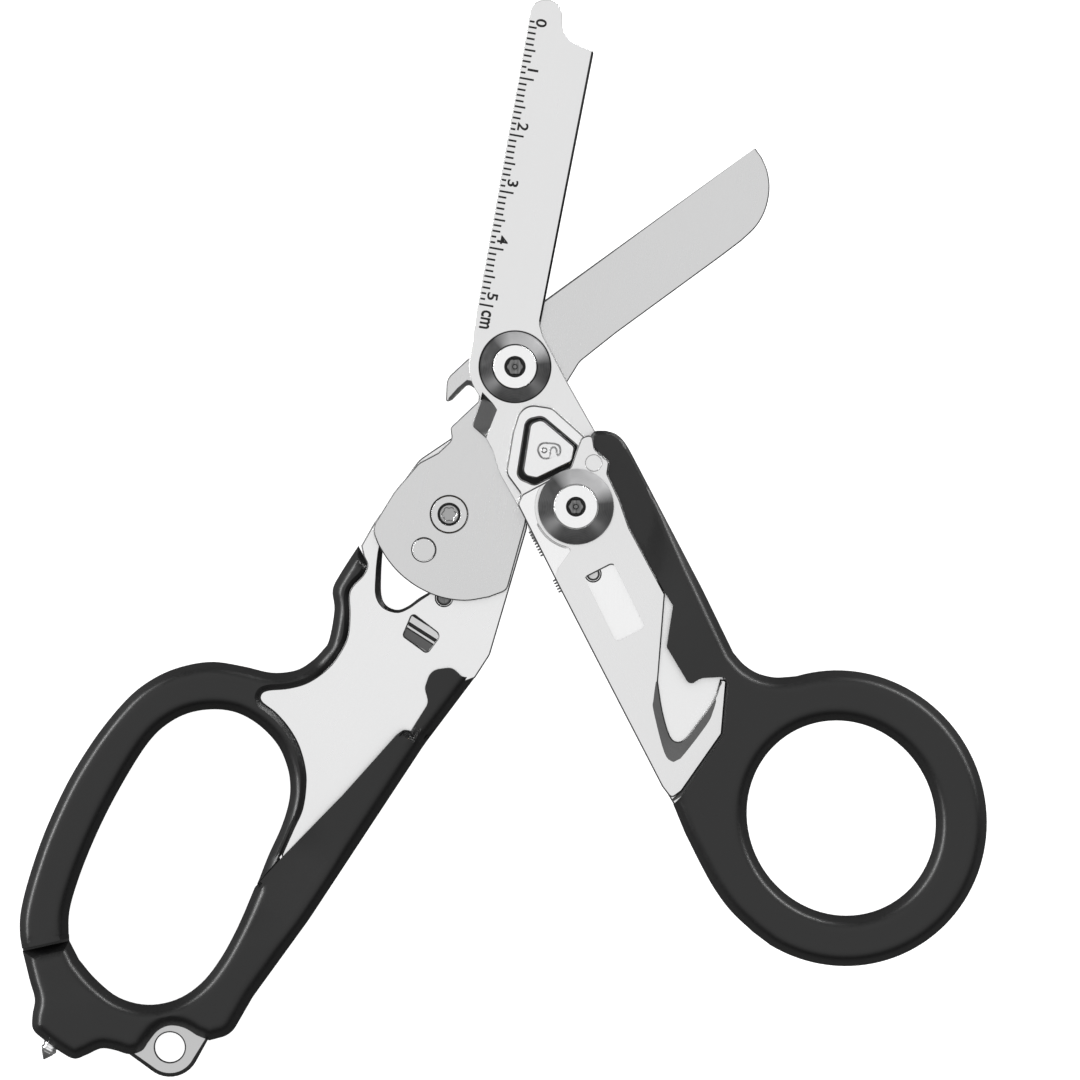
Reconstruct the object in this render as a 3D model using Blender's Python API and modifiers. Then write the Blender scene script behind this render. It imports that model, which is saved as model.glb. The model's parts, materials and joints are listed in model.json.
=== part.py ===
"""Folding rescue shears: a multi tool with two fold-out handles, a strap cutter and a ruler blade.

Drawn lying flat and seen from above. Lengths here are millimetres about the shear pivot, with
x to the right, y up the page and z towards the viewer; z = 0 is the plane between the blades.
"""
import math

import bmesh
import bpy
from mathutils import Matrix, Vector

MM = 0.001
ROUND_STEPS = 24

# where the model's own origin is, seen from the shear pivot: the middle of its box, at its base
ORIGIN = Vector((-1.93, -30.03, -9.2))

# pivots
SHEAR = (0.0, 0.0)
ROUND = (10.6, -24.4)
OVAL = (-11.5, -25.7)

# levels: the round handle is built upwards from the blades, the oval one downwards
BLADE_GAP = 0.1
BLADE_THICK = 2.2
BLADE_FACE = BLADE_GAP + BLADE_THICK
FRAME_BACK = 3.4
FRAME_THICK = 1.6
FRAME_FACE = FRAME_BACK + FRAME_THICK
CUTTER_BACK = 5.2
CUTTER_FACE = 7.0
GRIP_FACE = 9.2
GRIP_BACK = 2.6
LOOP_FRONT = -2.5
END_FRONT = -0.2
CLEAR = 0.25
SIDE_CLEAR = 0.2
PAST = 1.0

SHEAR_COLLAR_R = 6.1
SHEAR_COLLAR_TOP = 3.2
HANDLE_COLLAR_R = 6.6
SCREW_HEAD_R = 3.8
SOCKET_R = 1.9
NUT_FLANGE_R = 3.1
NUT_FLANGE_TOP = 0.95
BUTTON_TOP = 3.3
BUTTON_BASE = 1.6
POCKET_FLOOR = 0.6
SEAT_FLOOR = 1.5
FRAME_BORE_R = 2.65
BLADE_BORE_R = 2.6

# the oval handle's pivot end is the round one's in a mirror, at this angle to +X
MIRROR_ANGLE = -88.7

# what each handle's grip must stay clear of as it folds past the shear pivot's collars
SWEEP_MARGIN = 0.5
ROUND_SWEEP_R = math.hypot(*ROUND) + SHEAR_COLLAR_R + SWEEP_MARGIN
OVAL_SWEEP_R = math.hypot(*OVAL) + SHEAR_COLLAR_R + SWEEP_MARGIN
# how far the strap cutter's ear reaches from the round pivot as it swings over the horn
EAR_SWEEP_R = 13.5
HORN_LEVEL = 4.9

RING_CENTRE = (57.1, -78.5)
RING_R = 25.65
RING_HOLE_R = 16.75
TAB_HOLE = (-60.3, -118.8)
TAB_HOLE_R = 2.6
TAB_R = 5.2

MATERIALS = {
    "blade_steel": ((0.78, 0.78, 0.78), 0.32, 1.0),
    "frame_steel": ((0.80, 0.80, 0.80), 0.30, 1.0),
    "dark_collar": ((0.35, 0.35, 0.36), 0.28, 1.0),
    "bright_steel": ((0.88, 0.88, 0.88), 0.22, 1.0),
    "black_grip": ((0.03, 0.03, 0.03), 0.55, 0.0),
    "carbide": ((0.30, 0.30, 0.31), 0.35, 1.0),
    "washer_bronze": ((0.60, 0.42, 0.22), 0.40, 1.0),
}


# ---------------------------------------------------------------- outlines

def rounded(points, step=12.0):
    """A closed outline through corners (x, y) or (x, y, radius of the round)."""
    out = []
    count = len(points)
    for i, point in enumerate(points):
        corner = Vector(point[:2])
        radius = point[2] if len(point) > 2 else 0.0
        back = Vector(points[i - 1][:2]) - corner
        ahead = Vector(points[(i + 1) % count][:2]) - corner
        turn = math.pi - back.angle(ahead)
        if radius <= 0.0 or turn < math.radians(2.0):
            out.append(tuple(corner))
            continue
        reach = radius * math.tan(turn / 2)
        reach = min(reach, 0.49 * back.length, 0.49 * ahead.length)
        radius = reach / math.tan(turn / 2)
        start = corner + back.normalized() * reach
        middle = corner + (back.normalized() + ahead.normalized()).normalized() * (
            radius / math.cos(turn / 2))
        steps = max(1, math.ceil(math.degrees(turn) / step))
        arm = start - middle
        sign = -1.0 if back.x * ahead.y - back.y * ahead.x > 0 else 1.0
        for k in range(steps + 1):
            turned_arm = Matrix.Rotation(sign * turn * k / steps, 2) @ arm
            out.append(tuple(middle + turned_arm))
    return out


def smooth(points, steps=3):
    """An open smooth stretch through the given points."""
    spots = [Vector(p) for p in points]
    spots = [2 * spots[0] - spots[1]] + spots + [2 * spots[-1] - spots[-2]]
    out = []
    for i in range(1, len(spots) - 2):
        a, b, c, d = spots[i - 1:i + 3]
        for k in range(steps):
            t = k / steps
            out.append(tuple(0.5 * ((2 * b) + (c - a) * t + (2 * a - 5 * b + 4 * c - d) * t * t
                                    + (3 * b - a - 3 * c + d) * t ** 3)))
    out.append(tuple(spots[-2]))
    return out


def arc(centre, radius, start, end, step=8.0):
    """Points on an arc from one angle to another, in degrees."""
    count = max(1, math.ceil(abs(end - start) / step))
    angles = [math.radians(start + (end - start) * k / count) for k in range(count + 1)]
    return [(centre[0] + radius * math.cos(a), centre[1] + radius * math.sin(a)) for a in angles]


def circle(centre, radius, step=15.0):
    return arc(centre, radius, 0.0, 360.0, step)[:-1]


def mirrored(points):
    """Points about the round handle's pivot, as they lie about the oval handle's."""
    twice = math.radians(2 * MIRROR_ANGLE)
    out = []
    for point in points:
        x, y = point[0] - ROUND[0], point[1] - ROUND[1]
        turned = (OVAL[0] + x * math.cos(twice) + y * math.sin(twice),
                  OVAL[1] + x * math.sin(twice) - y * math.cos(twice))
        out.append(turned + tuple(point[2:]))
    return out[::-1]


# corners as (x, y, radius of the round)
RULER_BLADE = [
    (3.0, 63.95, 2.6), (-6.6, 10.5, 12.0), *arc(SHEAR, 8.0, 165.0, 216.0),
    (-5.9, -5.6, 0.6), (-7.5, -10.3, 0.9), (-5.1, -12.4, 1.2), (-3.9, -14.6, 3.0), (-2.7, -18.6, 8.0),
    (1.7, -26.3, 8.0), *arc(ROUND, 9.4, 215.0, 390.0), (9.2, -2.8, 18.0), (4.9, 5.4, 5.0),
    (4.4, 7.2, 1.0), (13.75, 54.9, 0.5), (8.3, 57.25, 4.0), (8.2, 63.95, 2.6),
]
PLAIN_BLADE = [
    (41.9, 38.2, 0.2), (-3.6, 5.3, 4.0), (-8.2, 1.4, 0.0), (-11.9, -2.0, 2.6), (-12.1, -6.2, 0.5),
    (-11.0, -5.8, 0.4), (-8.2, -3.0, 0.8), (-6.3, -4.2, 0.4), (-6.4, -6.0, 0.8), (-11.3, -10.6, 0.8),
    (-11.0, -12.7, 1.4), (-13.4, -15.0, 1.0), (-16.8, -16.8, 3.0), (-21.1, -21.8, 12.0),
    (-25.0, -28.2, 3.0),
    *smooth([(-23.9, -31.0), (-22.2, -33.7), (-20.0, -36.2), (-16.9, -38.5), (-13.0, -40.2),
             (-8.7, -40.8), (-4.6, -40.2)], 2),
    (-1.4, -39.0, 1.8), (1.8, -27.4, 3.0), (2.8, -19.0, 6.0), (5.6, -9.6, 6.0), (9.2, -2.5, 3.0),
    (11.3, 0.9, 4.0), (17.6, 5.9), (35.8, 19.2),
    *smooth([(39.5, 22.0), (41.9, 24.3), (43.4, 26.7), (44.2, 29.3), (44.4, 31.8), (44.0, 34.3),
             (43.1, 36.5)], 2),
]
TANG_PIN = (-15.9, -31.9)
TANG_PIN_R = 1.95

# the frame plate's head, around the lock window, and that window
FRAME_HEAD = [
    (12.3, -12.4), (6.5, -7.2, 2.6), (1.2, -6.4, 3.2), (-0.4, -11.4, 4.0), (-1.6, -18.6, 2.2),
    (0.9, -22.0, 1.0),
]
LOCK_WINDOW = [(4.7, -8.7, 1.6), (2.0, -9.3, 1.6), (0.4, -19.3, 1.4), (3.4, -20.6, 1.4), (10.2, -17.2, 0.8),
               (10.9, -13.9, 0.8)]
LOCK_BUTTON = [(4.7, -9.3, 1.2), (2.8, -9.9, 1.2), (1.4, -18.8, 1.2), (3.8, -19.3, 1.0), (9.8, -16.4, 0.8),
               (10.3, -14.0, 0.8)]

ROUND_FRAME = FRAME_HEAD + [
    (0.7, -24.6, 1.0), (2.6, -27.9, 4.0), (8.2, -39.0), (17.9, -57.8), (25.7, -72.9), (27.4, -75.8),
    (31.6, -82.4, 1.5), (35.6, -80.0, 2.0), (39.0, -68.5, 3.0), (41.2, -58.5, 3.0), (34.6, -50.0, 3.0),
    (24.2, -29.5), (18.6, -18.9, 2.0), (15.8, -13.6, 1.5),
]
CUTTER_PIN = (13.7, -16.8)
CUTTER_PIN_R = 1.45
SIGHT_HOLE = (13.6, -36.1)
SIGHT_HOLE_R = 1.25

STRAP_CUTTER = [
    (5.3, -20.1, 1.5), (1.2, -22.3, 1.0), (0.45, -24.0, 0.8), (2.3, -27.7, 3.0), (8.0, -39.0),
    (17.7, -57.8), (25.6, -73.1, 1.0), (27.2, -75.2, 0.8), (29.0, -73.9, 0.5), (36.0, -63.9, 0.9),
    (36.8, -54.6, 0.5), (35.7, -54.4),
    *smooth([(35.0, -56.9), (33.8, -59.2), (31.5, -62.3), (29.8, -64.5), (28.4, -65.3), (27.0, -64.3),
             (25.7, -59.9), (24.9, -54.8)], 3),
    (26.1, -39.6), (19.9, -28.1, 2.0), (18.2, -23.2, 3.0), (16.1, -18.7, 0.8), (16.4, -16.6, 0.6),
    (13.9, -14.4, 1.2), (13.5, -11.8, 0.8), (11.6, -12.3, 1.2), (10.9, -14.0, 0.8), (9.7, -17.5, 1.0),
]
CUTTER_WINDOW = [(12.1, -36.8), (17.2, -34.2, 0.9), (22.7, -45.4, 0.8), (17.6, -48.0, 0.9)]

# the round handle's grip: its outer side from the horn to the ring, then its inner side back up
ROUND_GRIP = [
    (13.2, -11.9), (14.0, -11.1, 0.8), (18.0, -11.3, 3.2), (21.0, -16.4, 8.0), (32.6, -38.7, 30.0),
    *smooth([(38.0, -49.8), (39.9, -51.9), (42.3, -53.4), (45.2, -54.1), (47.8, -54.0)], 2),
    *arc(RING_CENTRE, RING_R, 107.0, -123.0, 6.0),
    *smooth([(40.6, -96.7), (36.8, -92.6), (33.2, -87.0), (29.9, -80.9)], 2),
    (27.55, -76.2), (28.9, -74.9), (36.4, -64.0, 0.9),
    (37.3, -54.9, 0.9), (36.2, -54.0), (32.2, -54.2, 3.0), (30.4, -55.5, 0.9), (26.4, -48.8, 0.5),
    (27.5, -41.6, 0.6), (26.4, -39.4), (20.2, -28.0, 2.0), (18.5, -23.2, 3.0), (16.5, -18.7, 0.8),
    (16.8, -16.5, 0.6), (14.2, -14.2, 1.2),
]

OVAL_FRAME = mirrored(FRAME_HEAD)[1:-1] + [
    (-11.0, -12.3, 1.5), (-16.8, -16.2, 5.0), (-24.7, -27.3), (-27.6, -31.9, 1.0), (-29.9, -37.0, 1.5),
    (-30.2, -44.0, 3.0),
    (-31.6, -50.0, 2.0), (-36.0, -54.2, 3.0), (-40.8, -56.3, 1.0), (-42.5, -60.4, 1.0), (-39.4, -65.0, 3.0),
    (-38.0, -71.0, 4.0), (-39.6, -79.5, 4.0), (-44.0, -88.5, 3.0), (-50.2, -102.6, 3.0),
    (-57.0, -111.8, 3.0), (-65.8, -114.2, 2.0), (-68.0, -119.6, 0.4),
    *arc(TAB_HOLE, TAB_R, 238.0, 332.0, 10.0), (-53.6, -117.4, 0.4),
    (-51.8, -114.6, 2.0),
    (-46.3, -107.6, 3.0), (-25.6, -78.0), (-17.8, -66.0), (-9.4, -56.6, 1.0), (-7.0, -54.3),
    (-4.4, -50.3, 3.0), (-0.9, -38.4, 6.0), (2.2, -27.8, 3.0), (1.2, -21.0, 3.0),
]
FOLD_WINDOW = [(-20.0, -26.6, 2.0), (-24.2, -30.6, 1.0), (-24.6, -40.9, 3.4), (-20.3, -44.0, 3.0),
               (-13.2, -38.7, 0.8), (-14.4, -33.0, 1.2)]
CLIP_SLOT = [(-17.9, -43.1, 0.5), (-13.1, -46.8, 0.9), (-15.4, -49.9, 0.6), (-19.5, -46.9, 0.5)]
FRAME_HOLE = (-12.4, -40.3)
FRAME_HOLE_R = 1.4

LOOP_OUTER = [
    (-27.4, -31.2), (-30.5, -36.0), (-31.9, -38.9), (-31.6, -42.4), (-32.5, -47.6), (-33.6, -49.4),
    (-35.6, -51.4), (-38.4, -53.0), (-42.6, -53.4), (-47.5, -52.3), (-52.8, -51.5), (-57.8, -52.2),
    (-62.3, -53.9), (-66.7, -56.9), (-71.0, -61.6), (-74.9, -67.0), (-78.7, -73.5), (-82.4, -81.7),
    (-85.0, -89.3), (-86.4, -95.0), (-86.6, -98.8), (-86.2, -101.6),
]
LOOP_INNER = [
    (-78.1, -99.8), (-78.0, -95.3), (-76.6, -90.1), (-74.1, -83.6), (-71.0, -77.0), (-67.2, -70.2),
    (-64.0, -65.4), (-61.0, -62.5), (-57.2, -60.5), (-52.8, -59.8), (-48.6, -60.4), (-44.7, -62.6),
    (-41.5, -66.0), (-39.8, -69.9), (-39.3, -73.4), (-39.7, -76.7), (-41.0, -80.7), (-43.1, -85.3),
    (-45.1, -90.4),
]
LOOP_PLATE_SIDE = [
    (-40.7, -85.1), (-38.7, -80.6), (-37.2, -77.2), (-36.6, -73.0), (-36.8, -69.8), (-37.9, -66.0),
    (-39.7, -62.9), (-41.9, -60.4), (-44.2, -58.6), (-44.5, -57.3), (-43.3, -56.4), (-39.4, -56.0),
    (-35.9, -54.9), (-32.5, -52.4), (-30.3, -49.4), (-29.2, -46.8), (-28.9, -43.2), (-29.0, -39.9),
    (-28.3, -38.2), (-26.5, -36.3), (-25.8, -34.6), (-26.4, -33.1),
]
LOOP_GRIP = smooth(LOOP_OUTER, 2) + smooth(LOOP_INNER, 2) + smooth(LOOP_PLATE_SIDE, 2)

END_GRIP = [
    (-19.5, -63.3, 1.0), (-18.2, -63.5), (-15.1, -58.6, 2.0), (-15.8, -56.0, 2.0), (-14.7, -52.9, 2.4),
    (-11.0, -52.4, 2.0), (-9.2, -54.1, 1.2), (-7.0, -54.2), (-15.9, -66.0, 20.0),
    (-36.0, -96.5, 30.0), (-45.8, -110.0, 12.0), (-49.6, -116.6, 4.0), (-53.4, -117.6),
    *smooth([(-55.6, -116.7), (-57.8, -115.4), (-60.3, -115.0), (-62.4, -115.9), (-64.0, -117.8),
             (-65.2, -119.4), (-67.4, -120.0), (-69.9, -119.3), (-72.3, -119.0), (-74.8, -120.1),
             (-76.9, -120.8), (-79.1, -119.8), (-82.4, -117.4), (-84.2, -115.6), (-84.3, -113.2),
             (-83.9, -110.4), (-84.8, -107.2), (-86.1, -102.1)], 2),
    (-78.0, -100.3),
    *smooth([(-76.3, -103.6), (-73.4, -107.0), (-69.4, -110.2), (-64.4, -111.5), (-59.3, -110.6),
             (-55.0, -107.8), (-51.5, -103.4), (-48.4, -97.7), (-45.5, -90.9)], 2),
    (-40.6, -85.5), (-30.0, -74.6), (-20.7, -64.2),
]
# the end grip's upper end stands no higher than the loop grip
END_GRIP_LOW = [(-19.7, -64.2), (-15.6, -66.3), (-3.0, -57.0), (-3.0, -45.0), (-22.0, -45.0), (-20.0, -62.4)]

STUD_FOOT = (-81.3, -118.85)
STUD_DIRECTION = Vector((-0.46, -0.89, 0.0)).normalized()
STUD_R = 1.4
STUD_LENGTH = 5.9
STUD_OUT = 4.0
STUD_LEVEL = -4.7


# ---------------------------------------------------------------- making solids

def collection(name):
    group = bpy.data.collections.new(name)
    bpy.context.scene.collection.children.link(group)
    return group


def material(name):
    made = bpy.data.materials.get(name)
    if made:
        return made
    colour, roughness, metallic = MATERIALS[name]
    made = bpy.data.materials.new(name)
    made.use_nodes = True
    shader = made.node_tree.nodes["Principled BSDF"]
    shader.inputs["Base Color"].default_value = (*colour, 1.0)
    shader.inputs["Roughness"].default_value = roughness
    shader.inputs["Metallic"].default_value = metallic
    return made


def world(x, y, z=0.0):
    """A place in millimetres about the shear pivot, in the model's own frame in metres."""
    return (Vector((x, y, z)) - ORIGIN) * MM


def finish_object(obj, slot, group):
    """Put an object in its collection, with its material, or as a cutter when it has none."""
    group.objects.link(obj)
    if slot is None:
        obj.hide_render = True
        obj.display_type = "WIRE"
        return obj
    obj.data.materials.clear()
    obj.data.materials.append(material(slot))
    obj.data.shade_smooth()
    obj.data.set_sharp_from_angle(angle=math.radians(30.0))
    return obj


def plate(name, outlines, low, high, slot, pivot=SHEAR, grow=0.0):
    """A flat piece between two levels; the first outline is its edge, the others are holes."""
    curve = bpy.data.curves.new(name, "CURVE")
    curve.dimensions = "2D"
    curve.fill_mode = "BOTH"
    curve.extrude = (high - low) / 2 * MM
    for number, outline in enumerate(outlines):
        points = offset(outline, grow) if number == 0 else outline
        spline = curve.splines.new("POLY")
        spline.points.add(len(points) - 1)
        for spot, (x, y) in zip(spline.points, points):
            spot.co = ((x - pivot[0]) * MM, (y - pivot[1]) * MM, 0.0, 1.0)
        spline.use_cyclic_u = True
    holder = bpy.data.objects.new(name + "_curve", curve)
    holder.location = world(*pivot, (low + high) / 2)
    bpy.context.scene.collection.objects.link(holder)
    bpy.context.view_layer.update()
    mesh = bpy.data.meshes.new_from_object(holder.evaluated_get(bpy.context.evaluated_depsgraph_get()))
    work = bmesh.new()
    work.from_mesh(mesh)
    bmesh.ops.remove_doubles(work, verts=work.verts, dist=1e-6)
    bmesh.ops.recalc_face_normals(work, faces=work.faces)
    work.to_mesh(mesh)
    work.free()
    obj = bpy.data.objects.new(name, mesh)
    obj.matrix_world = holder.matrix_world
    bpy.data.objects.remove(holder)
    return finish_object(obj, slot, CUTTERS if slot is None else PARTS)


def offset(outline, grow):
    """The outline moved outwards by a small distance."""
    if not grow:
        return outline
    area = sum(a[0] * b[1] - b[0] * a[1] for a, b in zip(outline, outline[1:] + outline[:1]))
    side = 1.0 if area > 0 else -1.0
    out = []
    for i, point in enumerate(outline):
        here = Vector(point)
        before = (here - Vector(outline[i - 1])).normalized()
        after = (Vector(outline[(i + 1) % len(outline)]) - here).normalized()
        along = (before + after).normalized()
        outwards = Vector((along.y, -along.x)) * side
        stretch = max(0.5, along.dot(after))
        out.append(tuple(here + outwards * grow / stretch))
    return out


def turned(name, centre, profile, slot, flip=False, direction=None):
    """A turned piece: its profile, as (radius, z), runs down its outer side, top to bottom."""
    mesh = bpy.data.meshes.new(name)
    spots = [(radius * MM, 0.0, z * MM) for radius, z in profile]
    closed = profile[0][0] > 0.0
    edges = [(i, i + 1) for i in range(len(spots) - 1)]
    if closed:
        edges.append((len(spots) - 1, 0))
    mesh.from_pydata(spots, edges, [])
    obj = bpy.data.objects.new(name, mesh)
    obj.location = world(*centre[:2], centre[2] if len(centre) > 2 else 0.0)
    if flip:
        obj.rotation_euler = (math.pi, 0.0, 0.0)
    if direction:
        obj.rotation_euler = direction.to_track_quat("Z", "Y").to_euler()
    screw = obj.modifiers.new("turn", "SCREW")
    screw.angle = math.tau
    screw.steps = ROUND_STEPS
    screw.render_steps = ROUND_STEPS
    screw.use_merge_vertices = True
    screw.merge_threshold = 1e-6
    return finish_object(obj, slot, CUTTERS if slot is None else PARTS)


def cut(obj, *cutters):
    for cutter in cutters:
        step = obj.modifiers.new("cut_" + cutter.name, "BOOLEAN")
        step.operation = "DIFFERENCE"
        step.solver = "EXACT"
        step.object = cutter
    return obj


def hexagon(centre, radius, turn=0.0):
    return arc(centre, radius, turn, turn + 360.0, 60.0)[:-1]


# ---------------------------------------------------------------- the pieces

def socket(name, centre, low, high):
    return plate(name, [hexagon(centre, SOCKET_R, 20.0)], low, high, None, centre)


def shear_pivot():
    """Screw from the front into a barrel nut from behind, with a coned collar round each head."""
    head_under = 1.9
    screw = turned("shear_pivot_screw", SHEAR, [
        (0.0, SHEAR_COLLAR_TOP), (SCREW_HEAD_R - 0.2, SHEAR_COLLAR_TOP),
        (SCREW_HEAD_R, SHEAR_COLLAR_TOP - 0.2), (SCREW_HEAD_R, head_under), (1.6, head_under),
        (1.6, -1.4), (0.0, -1.4)], "bright_steel")
    cut(screw, socket("shear_socket", SHEAR, 2.2, 4.0))
    nut = turned("shear_pivot_nut", SHEAR, [
        (0.0, -1.7), (1.9, -1.7), (1.9, 1.6), (2.4, 1.6), (2.4, -head_under), (SCREW_HEAD_R, -head_under),
        (SCREW_HEAD_R, 0.2 - SHEAR_COLLAR_TOP), (SCREW_HEAD_R - 0.2, -SHEAR_COLLAR_TOP),
        (0.0, -SHEAR_COLLAR_TOP)], "bright_steel")
    cut(nut, socket("shear_nut_socket", SHEAR, -4.0, -2.3))
    ring = [(SCREW_HEAD_R + CLEAR, SHEAR_COLLAR_TOP - 0.1), (SHEAR_COLLAR_R, 2.6), (SHEAR_COLLAR_R, 1.75),
            (SCREW_HEAD_R + CLEAR, 1.75)]
    turned("shear_pivot_collar", SHEAR, ring, "dark_collar")
    turned("shear_back_collar", SHEAR, ring, "dark_collar", flip=True)


def handle_pivot(side, centre, flip, collar_base, collar_top):
    """A handle's pivot: barrel nut flush in the blade, thrust washer, coned collar and screw."""
    sign = -1.0 if flip else 1.0
    nut = turned(side + "_pivot_nut", centre, [
        (1.85, collar_base - SIDE_CLEAR), (2.35, collar_base - SIDE_CLEAR), (2.35, NUT_FLANGE_TOP),
        (NUT_FLANGE_R, NUT_FLANGE_TOP), (NUT_FLANGE_R, 0.15), (0.0, 0.15), (0.0, 1.3), (1.85, 1.3)],
        "bright_steel", flip)
    nut_socket = plate(side + "_nut_socket", [hexagon(centre, SOCKET_R - 0.35, 20.0)],
                       *sorted((sign * -0.5, sign * 1.0)), None, centre)
    cut(nut, nut_socket)
    turned(side + "_pivot_washer", centre, [(2.6, 3.25), (5.4, 3.25), (5.4, 2.45), (2.6, 2.45)],
           "washer_bronze", flip)
    head_under = collar_top - 1.3
    turned(side + "_pivot_collar", centre, [
        (SCREW_HEAD_R + CLEAR, collar_top - 0.1), (HANDLE_COLLAR_R, collar_base + 0.5),
        (HANDLE_COLLAR_R, collar_base), (1.9, collar_base), (1.9, head_under - 0.15),
        (SCREW_HEAD_R + CLEAR, head_under - 0.15)], "dark_collar", flip)
    screw = turned(side + "_pivot_screw", centre, [
        (0.0, collar_top), (SCREW_HEAD_R - 0.2, collar_top), (SCREW_HEAD_R, collar_top - 0.2),
        (SCREW_HEAD_R, head_under), (1.6, head_under), (1.6, 1.9), (0.0, 1.9)], "bright_steel", flip)
    head_socket = plate(side + "_screw_socket", [hexagon(centre, SOCKET_R, 20.0)],
                        *sorted((sign * (collar_top - 0.9), sign * (collar_top + 1.0))), None, centre)
    cut(screw, head_socket)


def levels(low, high, flip):
    return (-high, -low) if flip else (low, high)


def lock(side, flip, button_outline, pocket_outline):
    """A triangular lock button over an arched leaf spring, in a pocket; returns the pocket cutter."""
    plate(side + "_lock_button", [rounded(button_outline)], *levels(BUTTON_BASE, BUTTON_TOP, flip),
          "frame_steel")
    middle = [sum(p[k] for p in button_outline) / len(button_outline) for k in (0, 1)]
    leaf(side + "_lock_spring", middle, flip)
    return plate(side + "_lock_pocket", [rounded(pocket_outline)],
                 *levels(POCKET_FLOOR, BLADE_FACE + PAST, flip), None)


def leaf(name, middle, flip):
    """An arched strip of spring steel that stands on its two feet and lifts the button."""
    half_length, width, rise, thick = 2.6, 2.2, 0.42, 0.16
    low = POCKET_FLOOR + 0.1
    mesh = bpy.data.meshes.new(name)
    work = bmesh.new()
    rows = []
    count = 10
    for k in range(count + 1):
        along = -half_length + 2 * half_length * k / count
        height = low + thick / 2 + rise * math.cos(along / half_length * math.pi / 2) ** 2
        rows.append([work.verts.new((across * MM, along * MM, height * MM))
                     for across in (-width / 2, width / 2)])
    for first, second in zip(rows, rows[1:]):
        work.faces.new((first[0], first[1], second[1], second[0]))
    work.to_mesh(mesh)
    work.free()
    obj = bpy.data.objects.new(name, mesh)
    obj.location = world(*middle, 0.0)
    if flip:
        obj.rotation_euler = (0.0, math.pi, 0.0)
    solid = obj.modifiers.new("thickness", "SOLIDIFY")
    solid.thickness = thick * MM
    solid.offset = 0.0
    return finish_object(obj, "bright_steel", PARTS)


def blade_bores(side, centre, flip):
    """Bore and counterbore for a handle's barrel nut."""
    bore = plate(side + "_bore", [circle(centre, BLADE_BORE_R)],
                 *levels(-PAST, BLADE_FACE + PAST, flip), None)
    counterbore = plate(side + "_counterbore", [circle(centre, NUT_FLANGE_R + CLEAR)],
                        *levels(-PAST, NUT_FLANGE_TOP + SIDE_CLEAR, flip), None)
    return bore, counterbore


def ruler_blade():
    blade = plate("ruler_blade", [rounded(RULER_BLADE)], BLADE_GAP, BLADE_FACE, "blade_steel")
    pocket = lock("round", False, LOCK_BUTTON, LOCK_WINDOW)
    cut(blade, plate("shear_bore_front", [circle(SHEAR, BLADE_BORE_R)], -PAST, BLADE_FACE + PAST, None),
        plate("shear_seat_front", [circle(SHEAR, SHEAR_COLLAR_R + CLEAR)],
              SEAT_FLOOR, BLADE_FACE + PAST, None),
        pocket, *blade_bores("round", ROUND, False))


def plain_blade():
    blade = plate("plain_blade", [rounded(PLAIN_BLADE)], -BLADE_FACE, -BLADE_GAP, "blade_steel")
    pocket = lock("oval", True, mirrored(LOCK_BUTTON), mirrored(LOCK_WINDOW))
    cut(blade, plate("shear_bore_back", [circle(SHEAR, BLADE_BORE_R)], -BLADE_FACE - PAST, PAST, None),
        plate("shear_seat_back", [circle(SHEAR, SHEAR_COLLAR_R + CLEAR)],
              -BLADE_FACE - PAST, -SEAT_FLOOR, None),
        pocket, *blade_bores("oval", OVAL, True),
        plate("tang_pin_bore", [circle(TANG_PIN, TANG_PIN_R + SIDE_CLEAR)], -BLADE_FACE - PAST, PAST, None))
    turned("tang_pin", TANG_PIN, [
        (0.0, -0.15), (TANG_PIN_R, -0.15), (TANG_PIN_R, -BLADE_FACE), (0.0, -BLADE_FACE)], "bright_steel")


def round_handle():
    plate("round_handle_frame",
          [rounded(ROUND_FRAME), rounded(LOCK_WINDOW), circle(ROUND, FRAME_BORE_R),
           circle(SIGHT_HOLE, SIGHT_HOLE_R)],
          FRAME_BACK, FRAME_FACE, "frame_steel", ROUND)
    grip = plate("round_handle_grip", [rounded(ROUND_GRIP), circle(RING_CENTRE, RING_HOLE_R, 7.5)],
                 GRIP_BACK, GRIP_FACE, "black_grip", ROUND)
    tongue = plate("round_tongue", [rounded(ROUND_FRAME)], FRAME_BACK - SIDE_CLEAR, FRAME_FACE + SIDE_CLEAR,
                   None, ROUND, grow=CLEAR)
    sweep = plate("round_sweep", [circle(ROUND, ROUND_SWEEP_R)], GRIP_BACK - PAST, FRAME_BACK, None, ROUND)
    low_horn = plate("round_low_horn", [circle(ROUND, EAR_SWEEP_R)], HORN_LEVEL, GRIP_FACE + PAST, None,
                     ROUND)
    cut(grip, tongue, sweep, low_horn)


def strap_cutter():
    plate("strap_cutter",
          [rounded(STRAP_CUTTER), rounded(CUTTER_WINDOW), circle(ROUND, FRAME_BORE_R),
           circle(CUTTER_PIN, CUTTER_PIN_R + SIDE_CLEAR)],
          CUTTER_BACK, CUTTER_FACE, "frame_steel", ROUND)
    turned("strap_cutter_pin", CUTTER_PIN, [
        (0.0, CUTTER_FACE), (CUTTER_PIN_R, CUTTER_FACE), (CUTTER_PIN_R, CUTTER_BACK), (0.0, CUTTER_BACK)],
        "bright_steel")


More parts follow.
